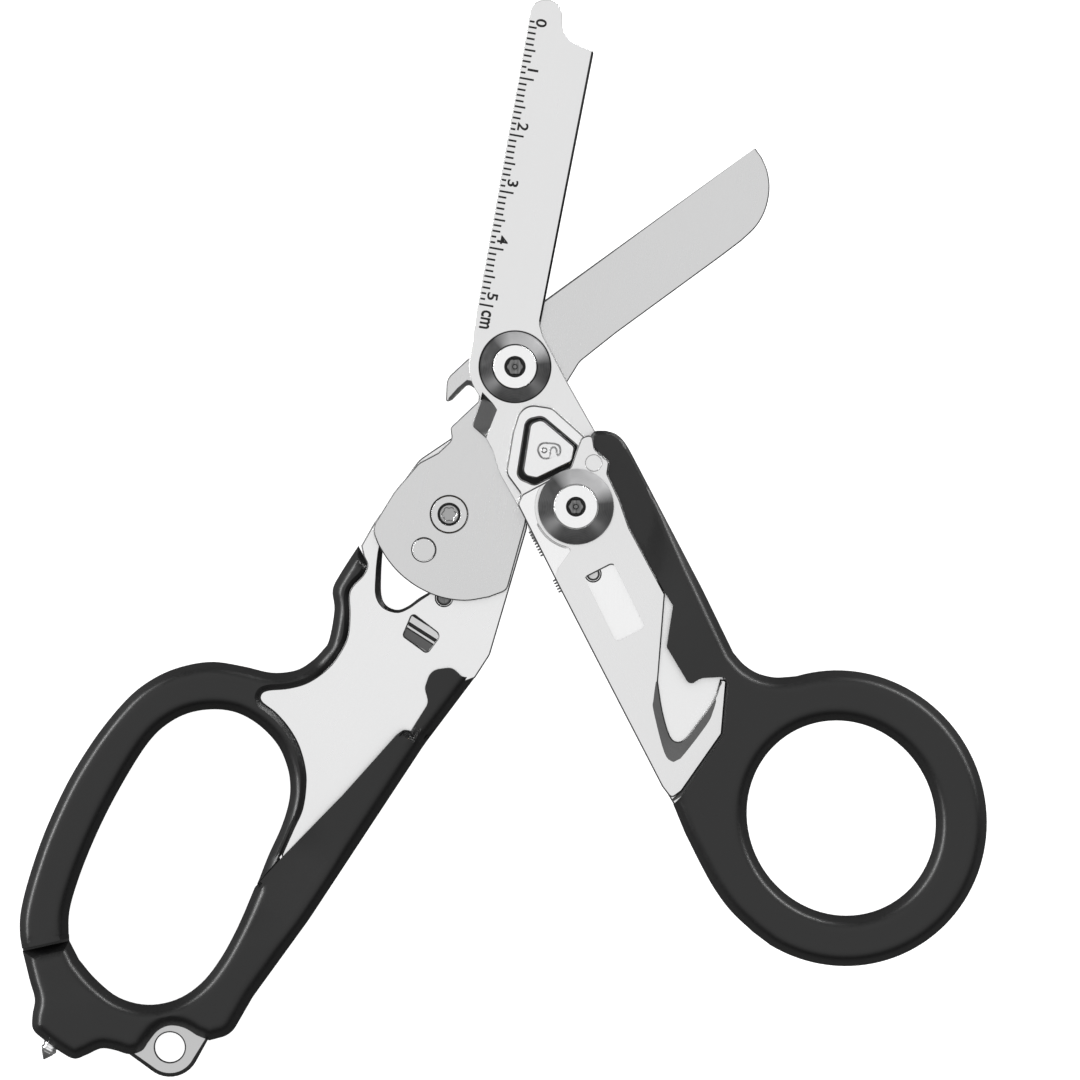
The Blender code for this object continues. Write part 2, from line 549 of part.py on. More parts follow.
def oval_handle():
    plate("oval_handle_frame",
          [rounded(OVAL_FRAME), rounded(mirrored(LOCK_WINDOW)), circle(OVAL, FRAME_BORE_R),
           rounded(FOLD_WINDOW), rounded(CLIP_SLOT), circle(TAB_HOLE, TAB_HOLE_R),
           circle(FRAME_HOLE, FRAME_HOLE_R)],
          -FRAME_FACE, -FRAME_BACK, "frame_steel", OVAL)
    tongue = plate("oval_tongue", [rounded(OVAL_FRAME)], -FRAME_FACE - SIDE_CLEAR, -FRAME_BACK + SIDE_CLEAR,
                   None, OVAL, grow=CLEAR)
    loop = plate("oval_loop_grip", [LOOP_GRIP], -GRIP_FACE, LOOP_FRONT, "black_grip", OVAL)
    sweep = plate("oval_sweep", [circle(OVAL, OVAL_SWEEP_R)], -FRAME_BACK, PAST, None, OVAL)
    cut(loop, tongue, sweep)
    end = plate("oval_end_grip", [rounded(END_GRIP)], -GRIP_FACE, END_FRONT, "black_grip", OVAL)
    low = plate("oval_end_low", [rounded(END_GRIP_LOW)], LOOP_FRONT, PAST, None, OVAL)
    stud_bore = turned("stud_bore", (*STUD_FOOT, STUD_LEVEL), [
        (0.0, STUD_OUT), (STUD_R + SIDE_CLEAR, STUD_OUT), (STUD_R + SIDE_CLEAR, -STUD_LENGTH - CLEAR),
        (0.0, -STUD_LENGTH - CLEAR)], None, direction=STUD_DIRECTION)
    cut(end, tongue, low, stud_bore)
    turned("glass_breaker_stud", (*STUD_FOOT, STUD_LEVEL), [
        (0.0, 0.9), (1.1, 0.9), (STUD_R, 0.5), (STUD_R, -STUD_LENGTH), (0.0, -STUD_LENGTH)],
        "bright_steel", direction=STUD_DIRECTION)
    turned("glass_breaker_tip", (*STUD_FOOT, STUD_LEVEL), [
        (0.0, 2.4), (0.9, 1.1), (0.0, 1.05)], "carbide", direction=STUD_DIRECTION)


def pocket_clip():
    """A bent steel strip behind the oval handle's plate, with a tab up through the plate's slot."""
    start, end = Vector((-16.5, -46.6)), Vector((-32.0, -70.8))
    length = (end - start).length
    profile = [(-1.0, -5.5), (3.0, -5.5), (6.0, -7.2), (10.0, -8.6), (length * 0.8, -7.6), (length, -8.6)]
    width, thick = 6.0, 0.8
    side = Vector((-(end - start).normalized().y, (end - start).normalized().x))
    mesh = bpy.data.meshes.new("pocket_clip")
    work = bmesh.new()
    rows = []
    for along, z in profile:
        spot = start + (end - start).normalized() * along
        rows.append([work.verts.new((world(*(spot + side * across), z) - world(*OVAL)))
                     for across in (-width / 2, width / 2)])
    for first, second in zip(rows, rows[1:]):
        work.faces.new((first[0], second[0], second[1], first[1]))
    work.to_mesh(mesh)
    work.free()
    clip = bpy.data.objects.new("pocket_clip", mesh)
    clip.location = world(*OVAL)
    solid = clip.modifiers.new("thickness", "SOLIDIFY")
    solid.thickness = thick * MM
    solid.offset = 0.0
    return finish_object(clip, "frame_steel", PARTS)


for old in list(bpy.data.objects):
    bpy.data.objects.remove(old)
PARTS = collection("rescue_shears")
CUTTERS = collection("cutters")

shear_pivot()
ruler_blade()
plain_blade()
handle_pivot("round", ROUND, False, 7.15, 9.2)
handle_pivot("oval", OVAL, True, 5.2, 7.4)
round_handle()
strap_cutter()
oval_handle()
pocket_clip()
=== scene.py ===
"""Looks for the folding rescue shears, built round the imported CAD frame.

Outlines are millimetres about the shear pivot, as the tool is seen from above: x right, y up the
page, z towards the viewer. Each visible piece is a solid whose top and bottom are height fields
over its outline, so edges are rounded, bevels are ground and grooves are cut in real geometry.
"""
import json
from math import atan2, ceil, cos, degrees, pi, radians, sin, tan, tau

import bmesh
import bpy
import numpy as np
from mathutils import Matrix, Vector, geometry


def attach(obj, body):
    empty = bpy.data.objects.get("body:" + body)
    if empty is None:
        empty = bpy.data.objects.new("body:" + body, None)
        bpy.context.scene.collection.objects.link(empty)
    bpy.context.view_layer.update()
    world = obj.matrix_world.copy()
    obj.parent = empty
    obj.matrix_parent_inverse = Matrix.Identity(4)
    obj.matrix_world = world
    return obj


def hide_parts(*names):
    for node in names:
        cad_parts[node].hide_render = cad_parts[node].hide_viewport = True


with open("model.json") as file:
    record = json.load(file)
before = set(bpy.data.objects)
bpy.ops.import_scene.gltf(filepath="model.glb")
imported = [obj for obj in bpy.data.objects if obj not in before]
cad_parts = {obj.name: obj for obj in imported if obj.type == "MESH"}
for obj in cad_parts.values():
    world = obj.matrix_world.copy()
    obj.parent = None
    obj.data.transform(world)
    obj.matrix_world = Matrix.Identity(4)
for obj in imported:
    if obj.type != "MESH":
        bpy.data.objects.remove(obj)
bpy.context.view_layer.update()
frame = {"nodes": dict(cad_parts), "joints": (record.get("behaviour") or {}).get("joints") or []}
NODES = frame["nodes"]
MM = 0.001

JOINTS = {joint["name"]: joint for joint in frame["joints"]}
PIVOT = Vector(JOINTS["shear_pivot"]["pos_m"])


def pivot_of(name):
    return tuple(((Vector(JOINTS[name]["pos_m"]) - PIVOT) / MM)[:2])


SHEAR = (0.0, 0.0)
ROUND = pivot_of("round_handle_fold")
OVAL = pivot_of("oval_handle_fold")
# the line in which the round handle's steel parts mirror to the oval handle's
MIRROR_ANGLE = -88.7

# the layers' two faces above the shear pivot's middle; the oval handle's lie as far below it
BLADE_GAP, BLADE_FACE = 0.1, 2.3
FRAME_BACK, FRAME_FACE = 3.4, 5.0
CUTTER_BACK, CUTTER_FACE = 5.2, 7.0
GRIP_BACK, GRIP_FACE = 2.6, 9.2


# -------- outlines

def rounded(points, step=6.0):
    """A closed outline through corners (x, y) or (x, y, radius of the round)."""
    out = []
    count = len(points)
    for i, point in enumerate(points):
        corner = Vector(point[:2])
        radius = point[2] if len(point) > 2 else 0.0
        back = Vector(points[i - 1][:2]) - corner
        ahead = Vector(points[(i + 1) % count][:2]) - corner
        turn = pi - back.angle(ahead)
        if radius <= 0.0 or turn < radians(2.0):
            out.append(tuple(corner))
            continue
        reach = min(radius * tan(turn / 2), 0.49 * back.length, 0.49 * ahead.length)
        radius = reach / tan(turn / 2)
        start = corner + back.normalized() * reach
        middle = corner + (back.normalized() + ahead.normalized()).normalized() * (
            radius / cos(turn / 2))
        steps = max(1, ceil(degrees(turn) / step))
        arm = start - middle
        sign = -1.0 if back.x * ahead.y - back.y * ahead.x > 0 else 1.0
        for k in range(steps + 1):
            out.append(tuple(middle + Matrix.Rotation(sign * turn * k / steps, 2) @ arm))
    return out


def smooth(points, steps=5):
    """An open smooth stretch through the given points."""
    spots = [Vector(p) for p in points]
    spots = [2 * spots[0] - spots[1]] + spots + [2 * spots[-1] - spots[-2]]
    out = []
    for i in range(1, len(spots) - 2):
        a, b, c, d = spots[i - 1:i + 3]
        for k in range(steps):
            t = k / steps
            out.append(tuple(0.5 * ((2 * b) + (c - a) * t + (2 * a - 5 * b + 4 * c - d) * t * t
                                    + (3 * b - a - 3 * c + d) * t ** 3)))
    out.append(tuple(spots[-2]))
    return out


def arc(centre, radius, start, end, step=5.0):
    count = max(1, ceil(abs(end - start) / step))
    angles = [radians(start + (end - start) * k / count) for k in range(count + 1)]
    return [(centre[0] + radius * cos(a), centre[1] + radius * sin(a)) for a in angles]


def circle(centre, radius, step=6.0):
    return arc(centre, radius, 0.0, 360.0, step)[:-1]


def oval(centre, across, along, tilt, start, end, step=4.0):
    """Part of an ellipse, its first half-width lying at a tilt."""
    across_way = Vector((cos(radians(tilt)), sin(radians(tilt))))
    along_way = Vector((-across_way.y, across_way.x))
    return [tuple(Vector(centre) + across_way * across * x + along_way * along * y)
            for x, y in arc((0.0, 0.0), 1.0, start - tilt, end - tilt, step)]


def spaced(line, longest=1.5, is_closed=True):
    """The same outline or line with no stretch longer than a given length."""
    out = []
    ends = line[1:] + line[:1] if is_closed else line[1:]
    for here, ahead in zip(line, ends):
        here, ahead = Vector(here), Vector(ahead)
        count = max(1, ceil((ahead - here).length / longest))
        out += [tuple(here.lerp(ahead, k / count)) for k in range(count)]
    return out if is_closed else out + [tuple(line[-1])]


def unit(rows):
    """Vectors brought to length one."""
    return rows / np.maximum(np.linalg.norm(rows, axis=1, keepdims=True), 1e-9)


def shifted(line, distance, is_closed=False):
    """A line moved to its left by a distance, point by point."""
    spots = np.array(line, float)
    if is_closed:
        before, after = np.roll(spots, 1, 0), np.roll(spots, -1, 0)
    else:
        before = np.vstack([2 * spots[:1] - spots[1:2], spots[:-1]])
        after = np.vstack([spots[1:], 2 * spots[-1:] - spots[-2:-1]])
    ahead = unit(after - spots)
    along = unit(unit(spots - before) + ahead)
    normal = np.stack([-along[:, 1], along[:, 0]], 1)
    sharpest = 0.4
    stretch = np.maximum(sharpest, (along * ahead).sum(1))[:, None]
    return [tuple(p) for p in spots + normal * distance / stretch]


def mirrored(points):
    """Points about the round handle's pivot, as they lie about the oval handle's."""
    twice = radians(2 * MIRROR_ANGLE)
    out = []
    for point in points:
        x, y = point[0] - ROUND[0], point[1] - ROUND[1]
        out.append((OVAL[0] + x * cos(twice) + y * sin(twice),
                    OVAL[1] + x * sin(twice) - y * cos(twice)) + tuple(point[2:]))
    return out[::-1]


RING_CENTRE = (56.8, -78.6)
RING_TILT = 30.0
RING_ACROSS, RING_ALONG = 25.1, 25.95
RING_HOLE_ACROSS, RING_HOLE_ALONG = 16.2, 17.25
TAB_HOLE = (-60.3, -118.8)
TAB_HOLE_R = 2.6
TAB_R = 5.2

# corners as (x, y, radius of the round)
RULER_BLADE = [
    (3, 63.95, 2.6), (-6.6, 10.5, 12), *arc(SHEAR, 8, 165, 216), (-5.9, -5.6, 0.6),
    (-7.5, -10.3, 0.9), (-5.1, -12.4, 1.2), (-3.9, -14.6, 3), (-2.7, -18.6, 8), (1.7, -26.3, 8),
    *arc(ROUND, 9.4, 215, 390), (9.2, -2.8, 18), (4.9, 5.4, 5),
    (4.4, 7.2, 1), (13.75, 54.9, 0.5), (8.3, 57.25, 4), (8.2, 63.95, 2.6),
]
PLAIN_BLADE = [
    (41.9, 38.2, 0.2), (-3.6, 5.3, 4), (-8.2, 1.4, 0), (-11.9, -2, 2.6), (-12.1, -6.2, 0.5),
    (-11, -5.8, 0.4), (-8.2, -3, 0.8), (-6.3, -4.2, 0.4), (-6.4, -6, 0.8), (-11.3, -10.6, 0.8),
    (-11, -12.7, 1.4), (-13.4, -15, 1), (-16.8, -16.8, 3), (-21.1, -21.8, 12),
    (-25, -28.2, 3),
    *smooth([(-23.9, -31), (-22.2, -33.7), (-20, -36.2), (-16.9, -38.5), (-13, -40.2),
             (-8.7, -40.8), (-4.6, -40.2)]),
    (-1.4, -39, 1.8), (1.8, -27.4, 3), (2.8, -19, 6), (5.6, -9.6, 6), (9.2, -2.5, 3),
    (11.3, 0.9, 4), (17.6, 5.9), (35.8, 19.2),
    *smooth([(39.5, 22), (41.9, 24.3), (43.4, 26.7), (44.2, 29.3), (44.4, 31.8), (44, 34.3),
             (43.1, 36.5)]),
]
TANG_PIN = (-15.9, -31.9)
TANG_PIN_R = 1.95
TANG_PIN_HOLE_R = 2.03

# the frame plate's head, around the lock window, and that window
FRAME_HEAD = [
    (12.3, -12.4), (6.5, -7.2, 2.6), (1.2, -6.4, 3.2), (-0.4, -11.4, 4), (-1.6, -18.6, 2.2),
    (0.9, -22, 1),
]
LOCK_WINDOW = [(4.7, -8.7, 1.6), (2, -9.3, 1.6), (0.4, -19.3, 1.4),
               (3.4, -20.6, 1.4), (10.2, -17.2, 0.8), (10.9, -13.9, 0.8)]
LOCK_BUTTON = [(4.7, -9.3, 1.2), (2.8, -9.9, 1.2), (1.4, -18.8, 1.2),
               (3.8, -19.3, 1), (9.8, -16.4, 0.8), (10.3, -14, 0.8)]

# under the grip's low horn the plate's own edge stands back, out of sight
ROUND_FRAME = FRAME_HEAD + [
    (0.7, -24.6, 1), (2.6, -27.9, 4), (8.2, -39), (17.9, -57.8), (25.7, -72.9), (27.4, -75.8),
    (31.6, -82.4, 1.5), (35.6, -80, 2), (39, -68.5, 3), (41.2, -58.5, 3), (34.6, -50, 3),
    (22.4, -29.8), (17, -19.5, 2), (14, -14, 1.5),
]
FRAME_BORE_R = 2.65
CUTTER_PIN = (13.7, -16.8)
CUTTER_PIN_R, CUTTER_PIN_HOLE_R = 1.46, 1.5
SIGHT_HOLE = (13.6, -36.1)
SIGHT_HOLE_R = 1.25

CUTTER_THROAT = [(24.9, -54.8), (25.7, -59.9), (27, -64.3), (28.4, -65.3), (29.8, -64.5),
                 (31.5, -62.3), (33.8, -59.2), (35, -56.9)]
STRAP_CUTTER = [
    (5.3, -20.1, 1.5), (1.2, -22.3, 1), (0.45, -24, 0.8), (2.3, -27.7, 3), (8, -39),
    (17.7, -57.8), (25.6, -73.1, 1), (27.2, -75.2, 0.8), (29, -73.9, 0.5), (36, -63.9, 0.9),
    (36.8, -54.6, 0.5), (35.7, -54.4), *smooth(CUTTER_THROAT[::-1], 3), (26.1, -39.6),
    (19.9, -28.1, 2), (18.2, -23.2, 3), (16.1, -18.7, 0.8), (16.4, -16.6, 0.6), (13.9, -14.4, 1.2),
    (13.5, -11.8, 0.8), (11.6, -12.3, 1.2), (10.9, -14, 0.8), (9.7, -17.5, 1),
]
CUTTER_WINDOW = [(12.1, -36.8), (17.2, -34.2, 0.9), (22.7, -45.4, 0.8), (17.6, -48, 0.9)]

RING_MEETS_PLATE = (27.55, -76.2)
# the round handle's grip: its outer side from the horn to the ring, then its inner side back up
ROUND_GRIP = [
    (13.2, -11.9), (14, -11.15, 0.8),
    *smooth([(15.8, -11.15), (17.7, -11.8), (19.4, -13.6), (21.8, -18)]), (32.6, -38.7, 30),
    *smooth([(38, -49.8), (39.9, -51.9), (42.3, -53.4), (45.2, -54.1), (47.8, -54)]),
    *oval(RING_CENTRE, RING_ACROSS, RING_ALONG, RING_TILT, 107, -120, 3),
    *smooth([(41.4, -98.4), (37.7, -94.9), (34.9, -91.2), (32.5, -87), (29.6, -81.2)]),
    RING_MEETS_PLATE, (28.9, -74.9), (36.4, -64, 0.9), (37.3, -54.9, 0.9), (36.2, -54),
    (32.2, -54.2, 3), (30.4, -55.5, 0.9), (26.4, -48.8, 0.5), (27.5, -41.6, 0.6), (26.18, -39.5),
    (20, -28.05, 2), (18.3, -23.2, 3), (16.2, -18.7, 0.8), (16.5, -16.55, 0.6), (14, -14.3, 1.2),
]

CLIP_SLOT = [(-17.9, -43.1, 0.5), (-13.1, -46.8, 0.9), (-15.4, -49.9, 0.6), (-19.5, -46.9, 0.5)]
FRAME_HOLE = (-12.4, -40.3)
FRAME_HOLE_R = 1.4

LOOP_OUTER = smooth([
    (-27.4, -31.2), (-30.5, -36), (-31.9, -38.9), (-31.6, -42.4), (-32.5, -47.6), (-33.6, -49.4),
    (-35.6, -51.4), (-38.4, -53), (-42.6, -53.4), (-47.5, -52.3), (-52.8, -51.5), (-57.8, -52.2),
    (-62.3, -53.9), (-66.7, -56.9), (-71, -61.6), (-74.9, -67), (-78.7, -73.5), (-82.4, -81.7),
    (-85, -89.3), (-86.4, -95), (-86.58, -98.8), (-86.2, -101.6),
])
LOOP_INNER = smooth([
    (-78.1, -99.8), (-78, -95.3), (-76.6, -90.1), (-74.1, -83.6), (-71, -77), (-67.2, -70.2),
    (-64, -65.4), (-61, -62.5), (-57.2, -60.5), (-52.8, -59.8), (-48.6, -60.4), (-44.7, -62.6),
    (-41.5, -66), (-39.8, -69.9), (-39.3, -73.4), (-39.7, -76.7), (-41, -80.7), (-43.1, -85.3),
    (-45.1, -90.4),
])
LOOP_PLATE_SIDE = smooth([
    (-40.7, -85.1), (-38.7, -80.6), (-37.2, -77.2), (-36.6, -73), (-36.8, -69.8), (-37.9, -66),
    (-39.7, -62.9), (-41.9, -60.4), (-44.2, -58.6), (-44.5, -57.3), (-43.3, -56.4), (-39.4, -56),
    (-35.9, -54.9), (-32.5, -52.4), (-30.3, -49.4), (-29.2, -46.8), (-28.9, -43.2), (-29, -39.9),
    (-28.3, -38.2), (-26.5, -36.3), (-25.8, -34.6), (-26.4, -33.1),
])
LOOP_GRIP = LOOP_OUTER + LOOP_INNER + LOOP_PLATE_SIDE

# the visible plate ends where the mouldings begin
OVAL_FRAME = mirrored(FRAME_HEAD)[1:-1] + [
    (-11, -12.3, 1.5), (-16.8, -16.2, 5), (-24.7, -27.3), (-26.9, -31.2),
    *shifted(LOOP_PLATE_SIDE, 0.05)[::-1], (-40.4, -88.6, 1), (-47.6, -102.2, 3),
    (-57, -111.8, 3), (-65.8, -114.2, 2), (-68, -119.6, 0.4),
    *arc(TAB_HOLE, TAB_R, 238, 332, 10), (-53.6, -117.4, 0.4), (-51.8, -114.6, 2),
    (-46.3, -107.6, 3), (-25.6, -78), (-19.2, -65.4), (-12.6, -56.4, 1), (-7, -54.3),
    (-4.4, -50.3, 3), (-0.9, -38.4, 6), (2.2, -27.8, 3), (1.2, -21, 3),
]

END_GRIP = [
    (-19.5, -63.3, 1), (-18.2, -63.5), (-15.1, -58.6, 2), (-15.8, -56, 2), (-14.7, -52.9, 2.4),
    (-11, -52.4, 2), (-9.2, -54.1, 1.2), (-7, -54.2), (-15.9, -66, 20),
    (-36, -96.5, 30), (-45.8, -110, 12), (-49.6, -116.6, 4), (-53.4, -117.6),
    *smooth([(-55.6, -116.7), (-57.8, -115.4), (-60.3, -115), (-62.4, -115.9), (-64, -117.8),
             (-65.2, -119.4), (-67.4, -120), (-69.9, -119.3), (-72.3, -119), (-74.8, -120.1),
             (-76.9, -120.8), (-79.1, -119.8), (-82.4, -117.4), (-84.2, -115.6), (-84.3, -113.2),
             (-83.9, -110.4), (-84.8, -107.2), (-86.1, -102.1)]),
    (-78, -100.3),
    *smooth([(-76.3, -103.6), (-73.4, -107), (-69.4, -110.2), (-64.4, -111.5), (-59.3, -110.6),
             (-55, -107.8), (-51.5, -103.4), (-48.4, -97.7), (-45.5, -90.9)]),
    (-40.6, -85.5), (-30, -74.6), (-20.7, -64.2),
]
# the end grip's upper end is lower than the rest of it
END_GRIP_LOW = [(-19.7, -64.2), (-15.6, -66.3), (-3, -57),
                (-3, -45), (-22, -45), (-20, -62.4)]

STUD_FOOT = (-81.3, -118.85)
STUD_DIRECTION = Vector((-0.46, -0.89, 0)).normalized()
STUD_LEVEL = -4.7


# -------- height-field solids

def distance_to(points, lines):
    """Each point's distance to the nearest of several polylines."""
    a = np.concatenate([np.array(line[:-1], float) for line in lines])
    b = np.concatenate([np.array(line[1:], float) for line in lines])
    best = np.full(len(points), 1e9)
    for start in range(0, len(points), 2000):
        part = points[start:start + 2000, None, :]
        along = ((part - a) * (b - a)).sum(2) / np.maximum(((b - a) ** 2).sum(1), 1e-12)
        nearest = a + (b - a) * np.clip(along, 0, 1)[:, :, None]
        best[start:start + 2000] = np.sqrt(((part - nearest) ** 2).sum(2)).min(1)
    return best


def inside(points, loop):
    """Which points lie inside a closed loop."""
    spots = np.array(loop, float)
    ahead = np.roll(spots, -1, 0)
    x, y = points[:, 0:1], points[:, 1:2]
    crosses = (spots[:, 1] > y) != (ahead[:, 1] > y)
    rise = np.where(ahead[:, 1] == spots[:, 1], 1e-12, ahead[:, 1] - spots[:, 1])
    at = spots[:, 0] + (y - spots[:, 1]) / rise * (ahead[:, 0] - spots[:, 0])
    return ((crosses & (x < at)).sum(1) % 2) == 1


def closed(loop):
    return list(loop) + [loop[0]]


def area(loop):
    spots = np.array(loop, float)
    ahead = np.roll(spots, -1, 0)
    return 0.5 * (spots[:, 0] * ahead[:, 1] - ahead[:, 0] * spots[:, 1]).sum()


class Ground:
    """A flat bevel ground along a line: full depth at the line, none a width away from it."""

    def __init__(self, line, width, depth, finish=0):
        self.line, self.width, self.depth, self.finish = line, width, depth, finish
        self.marks = [shifted(line, width), shifted(line, -width)]

    def share(self, points):
        return np.clip(1 - distance_to(points, [self.line]) / self.width, 0, 1)

    def drop(self, points):
        return self.depth * self.share(points)


class Fade(Ground):
    """A ground bevel that eases in and out instead of creasing."""

    def drop(self, points):
        share = self.share(points)
        return self.depth * share * share * (3 - 2 * share)


class Groove(Ground):
    """A V-shaped groove of a given width along a line."""

    def __init__(self, line, width, depth, finish=0):
        super().__init__(line, width / 2, depth, finish)
        self.marks.insert(0, line)


class Bevel:
    """A bevel between a cutting line and its shoulder line, which run the same way.

    Steepest is its greatest slope, which it keeps where the two lines come together.
    """

    def __init__(self, edge, shoulder, depth, finish=0, steepest=9.0):
        self.edge, self.shoulder, self.depth, self.finish = edge, shoulder, depth, finish
        self.steepest = steepest
        self.marks = [shoulder]

    def drop(self, points):
        near, far = distance_to(points, [self.edge]), distance_to(points, [self.shoulder])
        share = far / np.maximum(near + far, 1e-9)
        fall = np.minimum(self.depth * share, self.steepest * far)
        on_edge = near < 0.02
        return np.where(inside(points, self.edge + self.shoulder[::-1]) | on_edge, fall, 0.0)


class Level:
    """The face lowered inside a region, with a sloping side of a given width round it."""

    def __init__(self, loop, width, depth, finish=0):
        self.loop, self.width, self.depth, self.finish = loop, width, depth, finish
        inwards = width if area(loop) > 0 else -width
        self.marks = [closed(loop), closed(shifted(loop, inwards, True))]

    def drop(self, points):
        deep = np.clip(distance_to(points, [closed(self.loop)]) / self.width, 0, 1)
        return self.depth * np.where(inside(points, self.loop), deep, 0.0)


class Turned:
    """Heights by distance from a centre, given as (radius, drop) pairs."""
    finish = 0

    def __init__(self, centre, profile, step=6.0):
        self.centre, self.profile = centre, profile
        self.marks = [closed(circle(centre, r, step)) for r, _ in profile if r > 0.2]

    def drop(self, points):
        radius = np.linalg.norm(points - np.array(self.centre), axis=1)
        return np.interp(radius, [r for r, _ in self.profile], [d for _, d in self.profile])


# a moulding's edge: its flank's slope, its shoulder's radius as a share of the edge's width, and the
# rings of points that draw them, as shares of that width
FLANK = radians(64.0)
SHOULDER = 0.7
MOULDED_RINGS = (0.04, 0.2, 0.37, 0.47, 0.57, 0.67, 0.77, 0.88, 1.0)
# a ring's points keep nearly their ring's depth from every outline; a relief's points keep a little
RING_CLEAR = 0.985
LEAST_CLEAR = 0.02
LEAST_THICKNESS = 0.02
# how near to a line that is kept square an outline has to run
SQUARE_REACH = 0.35
# a face that drops more than this takes its relief's finish
LEAST_DROP = 0.03


def solid(name, outer, low, high, holes=(), recesses=(), edge=0.15, rings=3, top=(), bottom=(),
          pivot=SHEAR, low_edge=None, square=(), edge_finish=0, moulded=False):
    """A closed body over an outline: through holes, flat-floored recesses, rounded edges and reliefs.

    A recess is (outline, its floor's height, its finish). Edge is the top edges' width and low_edge
    the bottom ones'. Finishes number the piece's materials. Lines in square keep their edges sharp.
    """
    loops = [list(outer)] + [list(h) for h in holes] + [list(recess[0]) for recess in recesses]
    low_edge = edge if low_edge is None else low_edge
    widest = max(edge, low_edge)
    bounds_lines = [closed(loop) for loop in loops]
    verts, edges = [], []
    for loop in loops:
        start, count = len(verts), len(loop)
        verts.extend((float(x), float(y)) for x, y in loop)
        edges.extend((start + i, start + (i + 1) % count) for i in range(count))

    def add_if_clear(points, clear, is_closed):
        points = np.array(points, float)
        good = distance_to(points, bounds_lines) >= clear
        for number, loop in enumerate(loops):
            good &= inside(points, loop) == (number == 0)
        start = len(verts)
        where = np.cumsum(good) - 1 + start
        verts.extend(map(tuple, points[good]))
        count = len(points)
        for i in range(count if is_closed else count - 1):
            j = (i + 1) % count
            if good[i] and good[j]:
                edges.append((int(where[i]), int(where[j])))

    if widest > 0:
        depths = [widest * (1 - cos(pi / 2 * k / rings)) for k in range(1, rings + 1)]
        if moulded:
            depths = [widest * share for share in MOULDED_RINGS]
        just_past = widest * 1.12 + 0.03
        depths.append(just_past)
        for depth in depths:
            for number, loop in enumerate(loops):
                leftwards = (area(loop) > 0) != (number > 0)
                add_if_clear(shifted(loop, depth if leftwards else -depth, True), depth * RING_CLEAR, True)
    for relief in list(top) + list(bottom):
        for mark in relief.marks:
            add_if_clear(mark, LEAST_CLEAR, False)
    found = geometry.delaunay_2d_cdt([Vector(v) for v in verts], edges, [], 0, 1e-4)
    flat = np.array([tuple(v) for v in found[0]], float)
    faces = np.array([f for f in found[2] if len(f) == 3], int)
    middles = flat[faces].mean(1)
    region = np.where(inside(middles, loops[0]), 0, -1)
    for loop in loops[1:1 + len(holes)]:
        region[inside(middles, loop)] = -1
    for number, recess in enumerate(recesses, 1):
        region[inside(middles, recess[0])] = number

    up = np.full(len(flat), high)
    for relief in top:
        up = up - relief.drop(flat)
    down = np.full(len(flat), low)
    for relief in bottom:
        down = down + relief.drop(flat)
    thick = np.maximum(up - down, LEAST_THICKNESS)
    round_lines = bounds_lines
    if square:
        round_lines = [[a, b] for line in bounds_lines for a, b in zip(line, line[1:])
                       if distance_to((np.array([a]) + b) / 2, square)[0] > SQUARE_REACH]

    def rounding(width, lines):
        """How far a face falls away near its edge, with no more roundness than the place has room for."""
        reach = np.minimum(width, 0.48 * thick)
        short = np.clip(reach - distance_to(flat, lines), 0, reach)
        return reach - np.sqrt(np.maximum(reach ** 2 - short ** 2, 0))

    def shouldered(width, lines):
        """The same for a steep flank that turns over into the face with a tight shoulder."""
        reach = np.minimum(width, 0.6 * thick)
        short = np.clip(1 - distance_to(flat, lines) / reach, 0, 1)
        bend = SHOULDER * sin(FLANK)
        turned = SHOULDER - np.sqrt(SHOULDER ** 2 - np.minimum(short, bend) ** 2)
        full = SHOULDER * (1 - cos(FLANK)) + (1 - bend) * tan(FLANK)
        depth = np.minimum(reach, 0.5 * thick / full)
        return depth * (turned + np.maximum(short - bend, 0) * tan(FLANK))

    up = up - (shouldered if moulded else rounding)(edge, round_lines)
    down = down + rounding(low_edge, round_lines if square else bounds_lines[:1 + len(holes)])

    # which of the piece's finishes each top face takes: its edge's, which is painted shade, a ground bevel's
    # or the plain one
    finishes = np.zeros(len(faces), int)
    for relief in top:
        if relief.finish:
            finishes[relief.drop(middles) > LEAST_DROP] = relief.finish
    if edge_finish:
        finishes[distance_to(middles, round_lines) < edge] = edge_finish
    recess_finish = [0] + [recess[2] if len(recess) > 2 else 0 for recess in recesses]
    for number, finish in enumerate(recess_finish[1:], 1):
        finishes[region == number] = finish

    spots, index, tris, shades = [], {}, [], []

    def key(v, level):
        if (v, level) not in index:
            height = up[v] if level == 0 else down[v] if level < 0 else recesses[level - 1][1]
            index[(v, level)] = len(spots)
            spots.append((flat[v][0], flat[v][1], height))
        return index[(v, level)]

    owner = {}
    for face, where, finish in zip(faces, region, finishes):
        if where < 0:
            continue
        tris.append([key(v, where) for v in face])
        tris.append([key(v, -1) for v in face[::-1]])
        shades += [int(finish), 0]
        for i in range(3):
            owner[(face[i], face[(i + 1) % 3])] = where
    for (a, b), where in owner.items():
        other = owner.get((b, a), -1)
        if other < 0:
            tris.append([key(b, where), key(a, where), key(a, -1), key(b, -1)])
            shades.append(0)
        elif other > where:
            tris.append([key(b, where), key(a, where), key(a, other), key(b, other)])
            shades.append(recess_finish[other])

    mesh = meshed(name, [((x - pivot[0]) * MM, (y - pivot[1]) * MM, z * MM) for x, y, z in spots], tris)
    mesh.polygons.foreach_set("material_index", shades)
    mesh.validate()
    obj = linked(name, mesh)
    obj.location = PIVOT + Vector((*pivot, 0)) * MM
    mesh.shade_smooth()
    mesh.set_sharp_from_angle(angle=radians(32.0))
    if not moulded:
        for face in mesh.polygons:
            is_level = abs(face.normal.z) >= 0.9999
            face.use_smooth = not is_level
    return obj


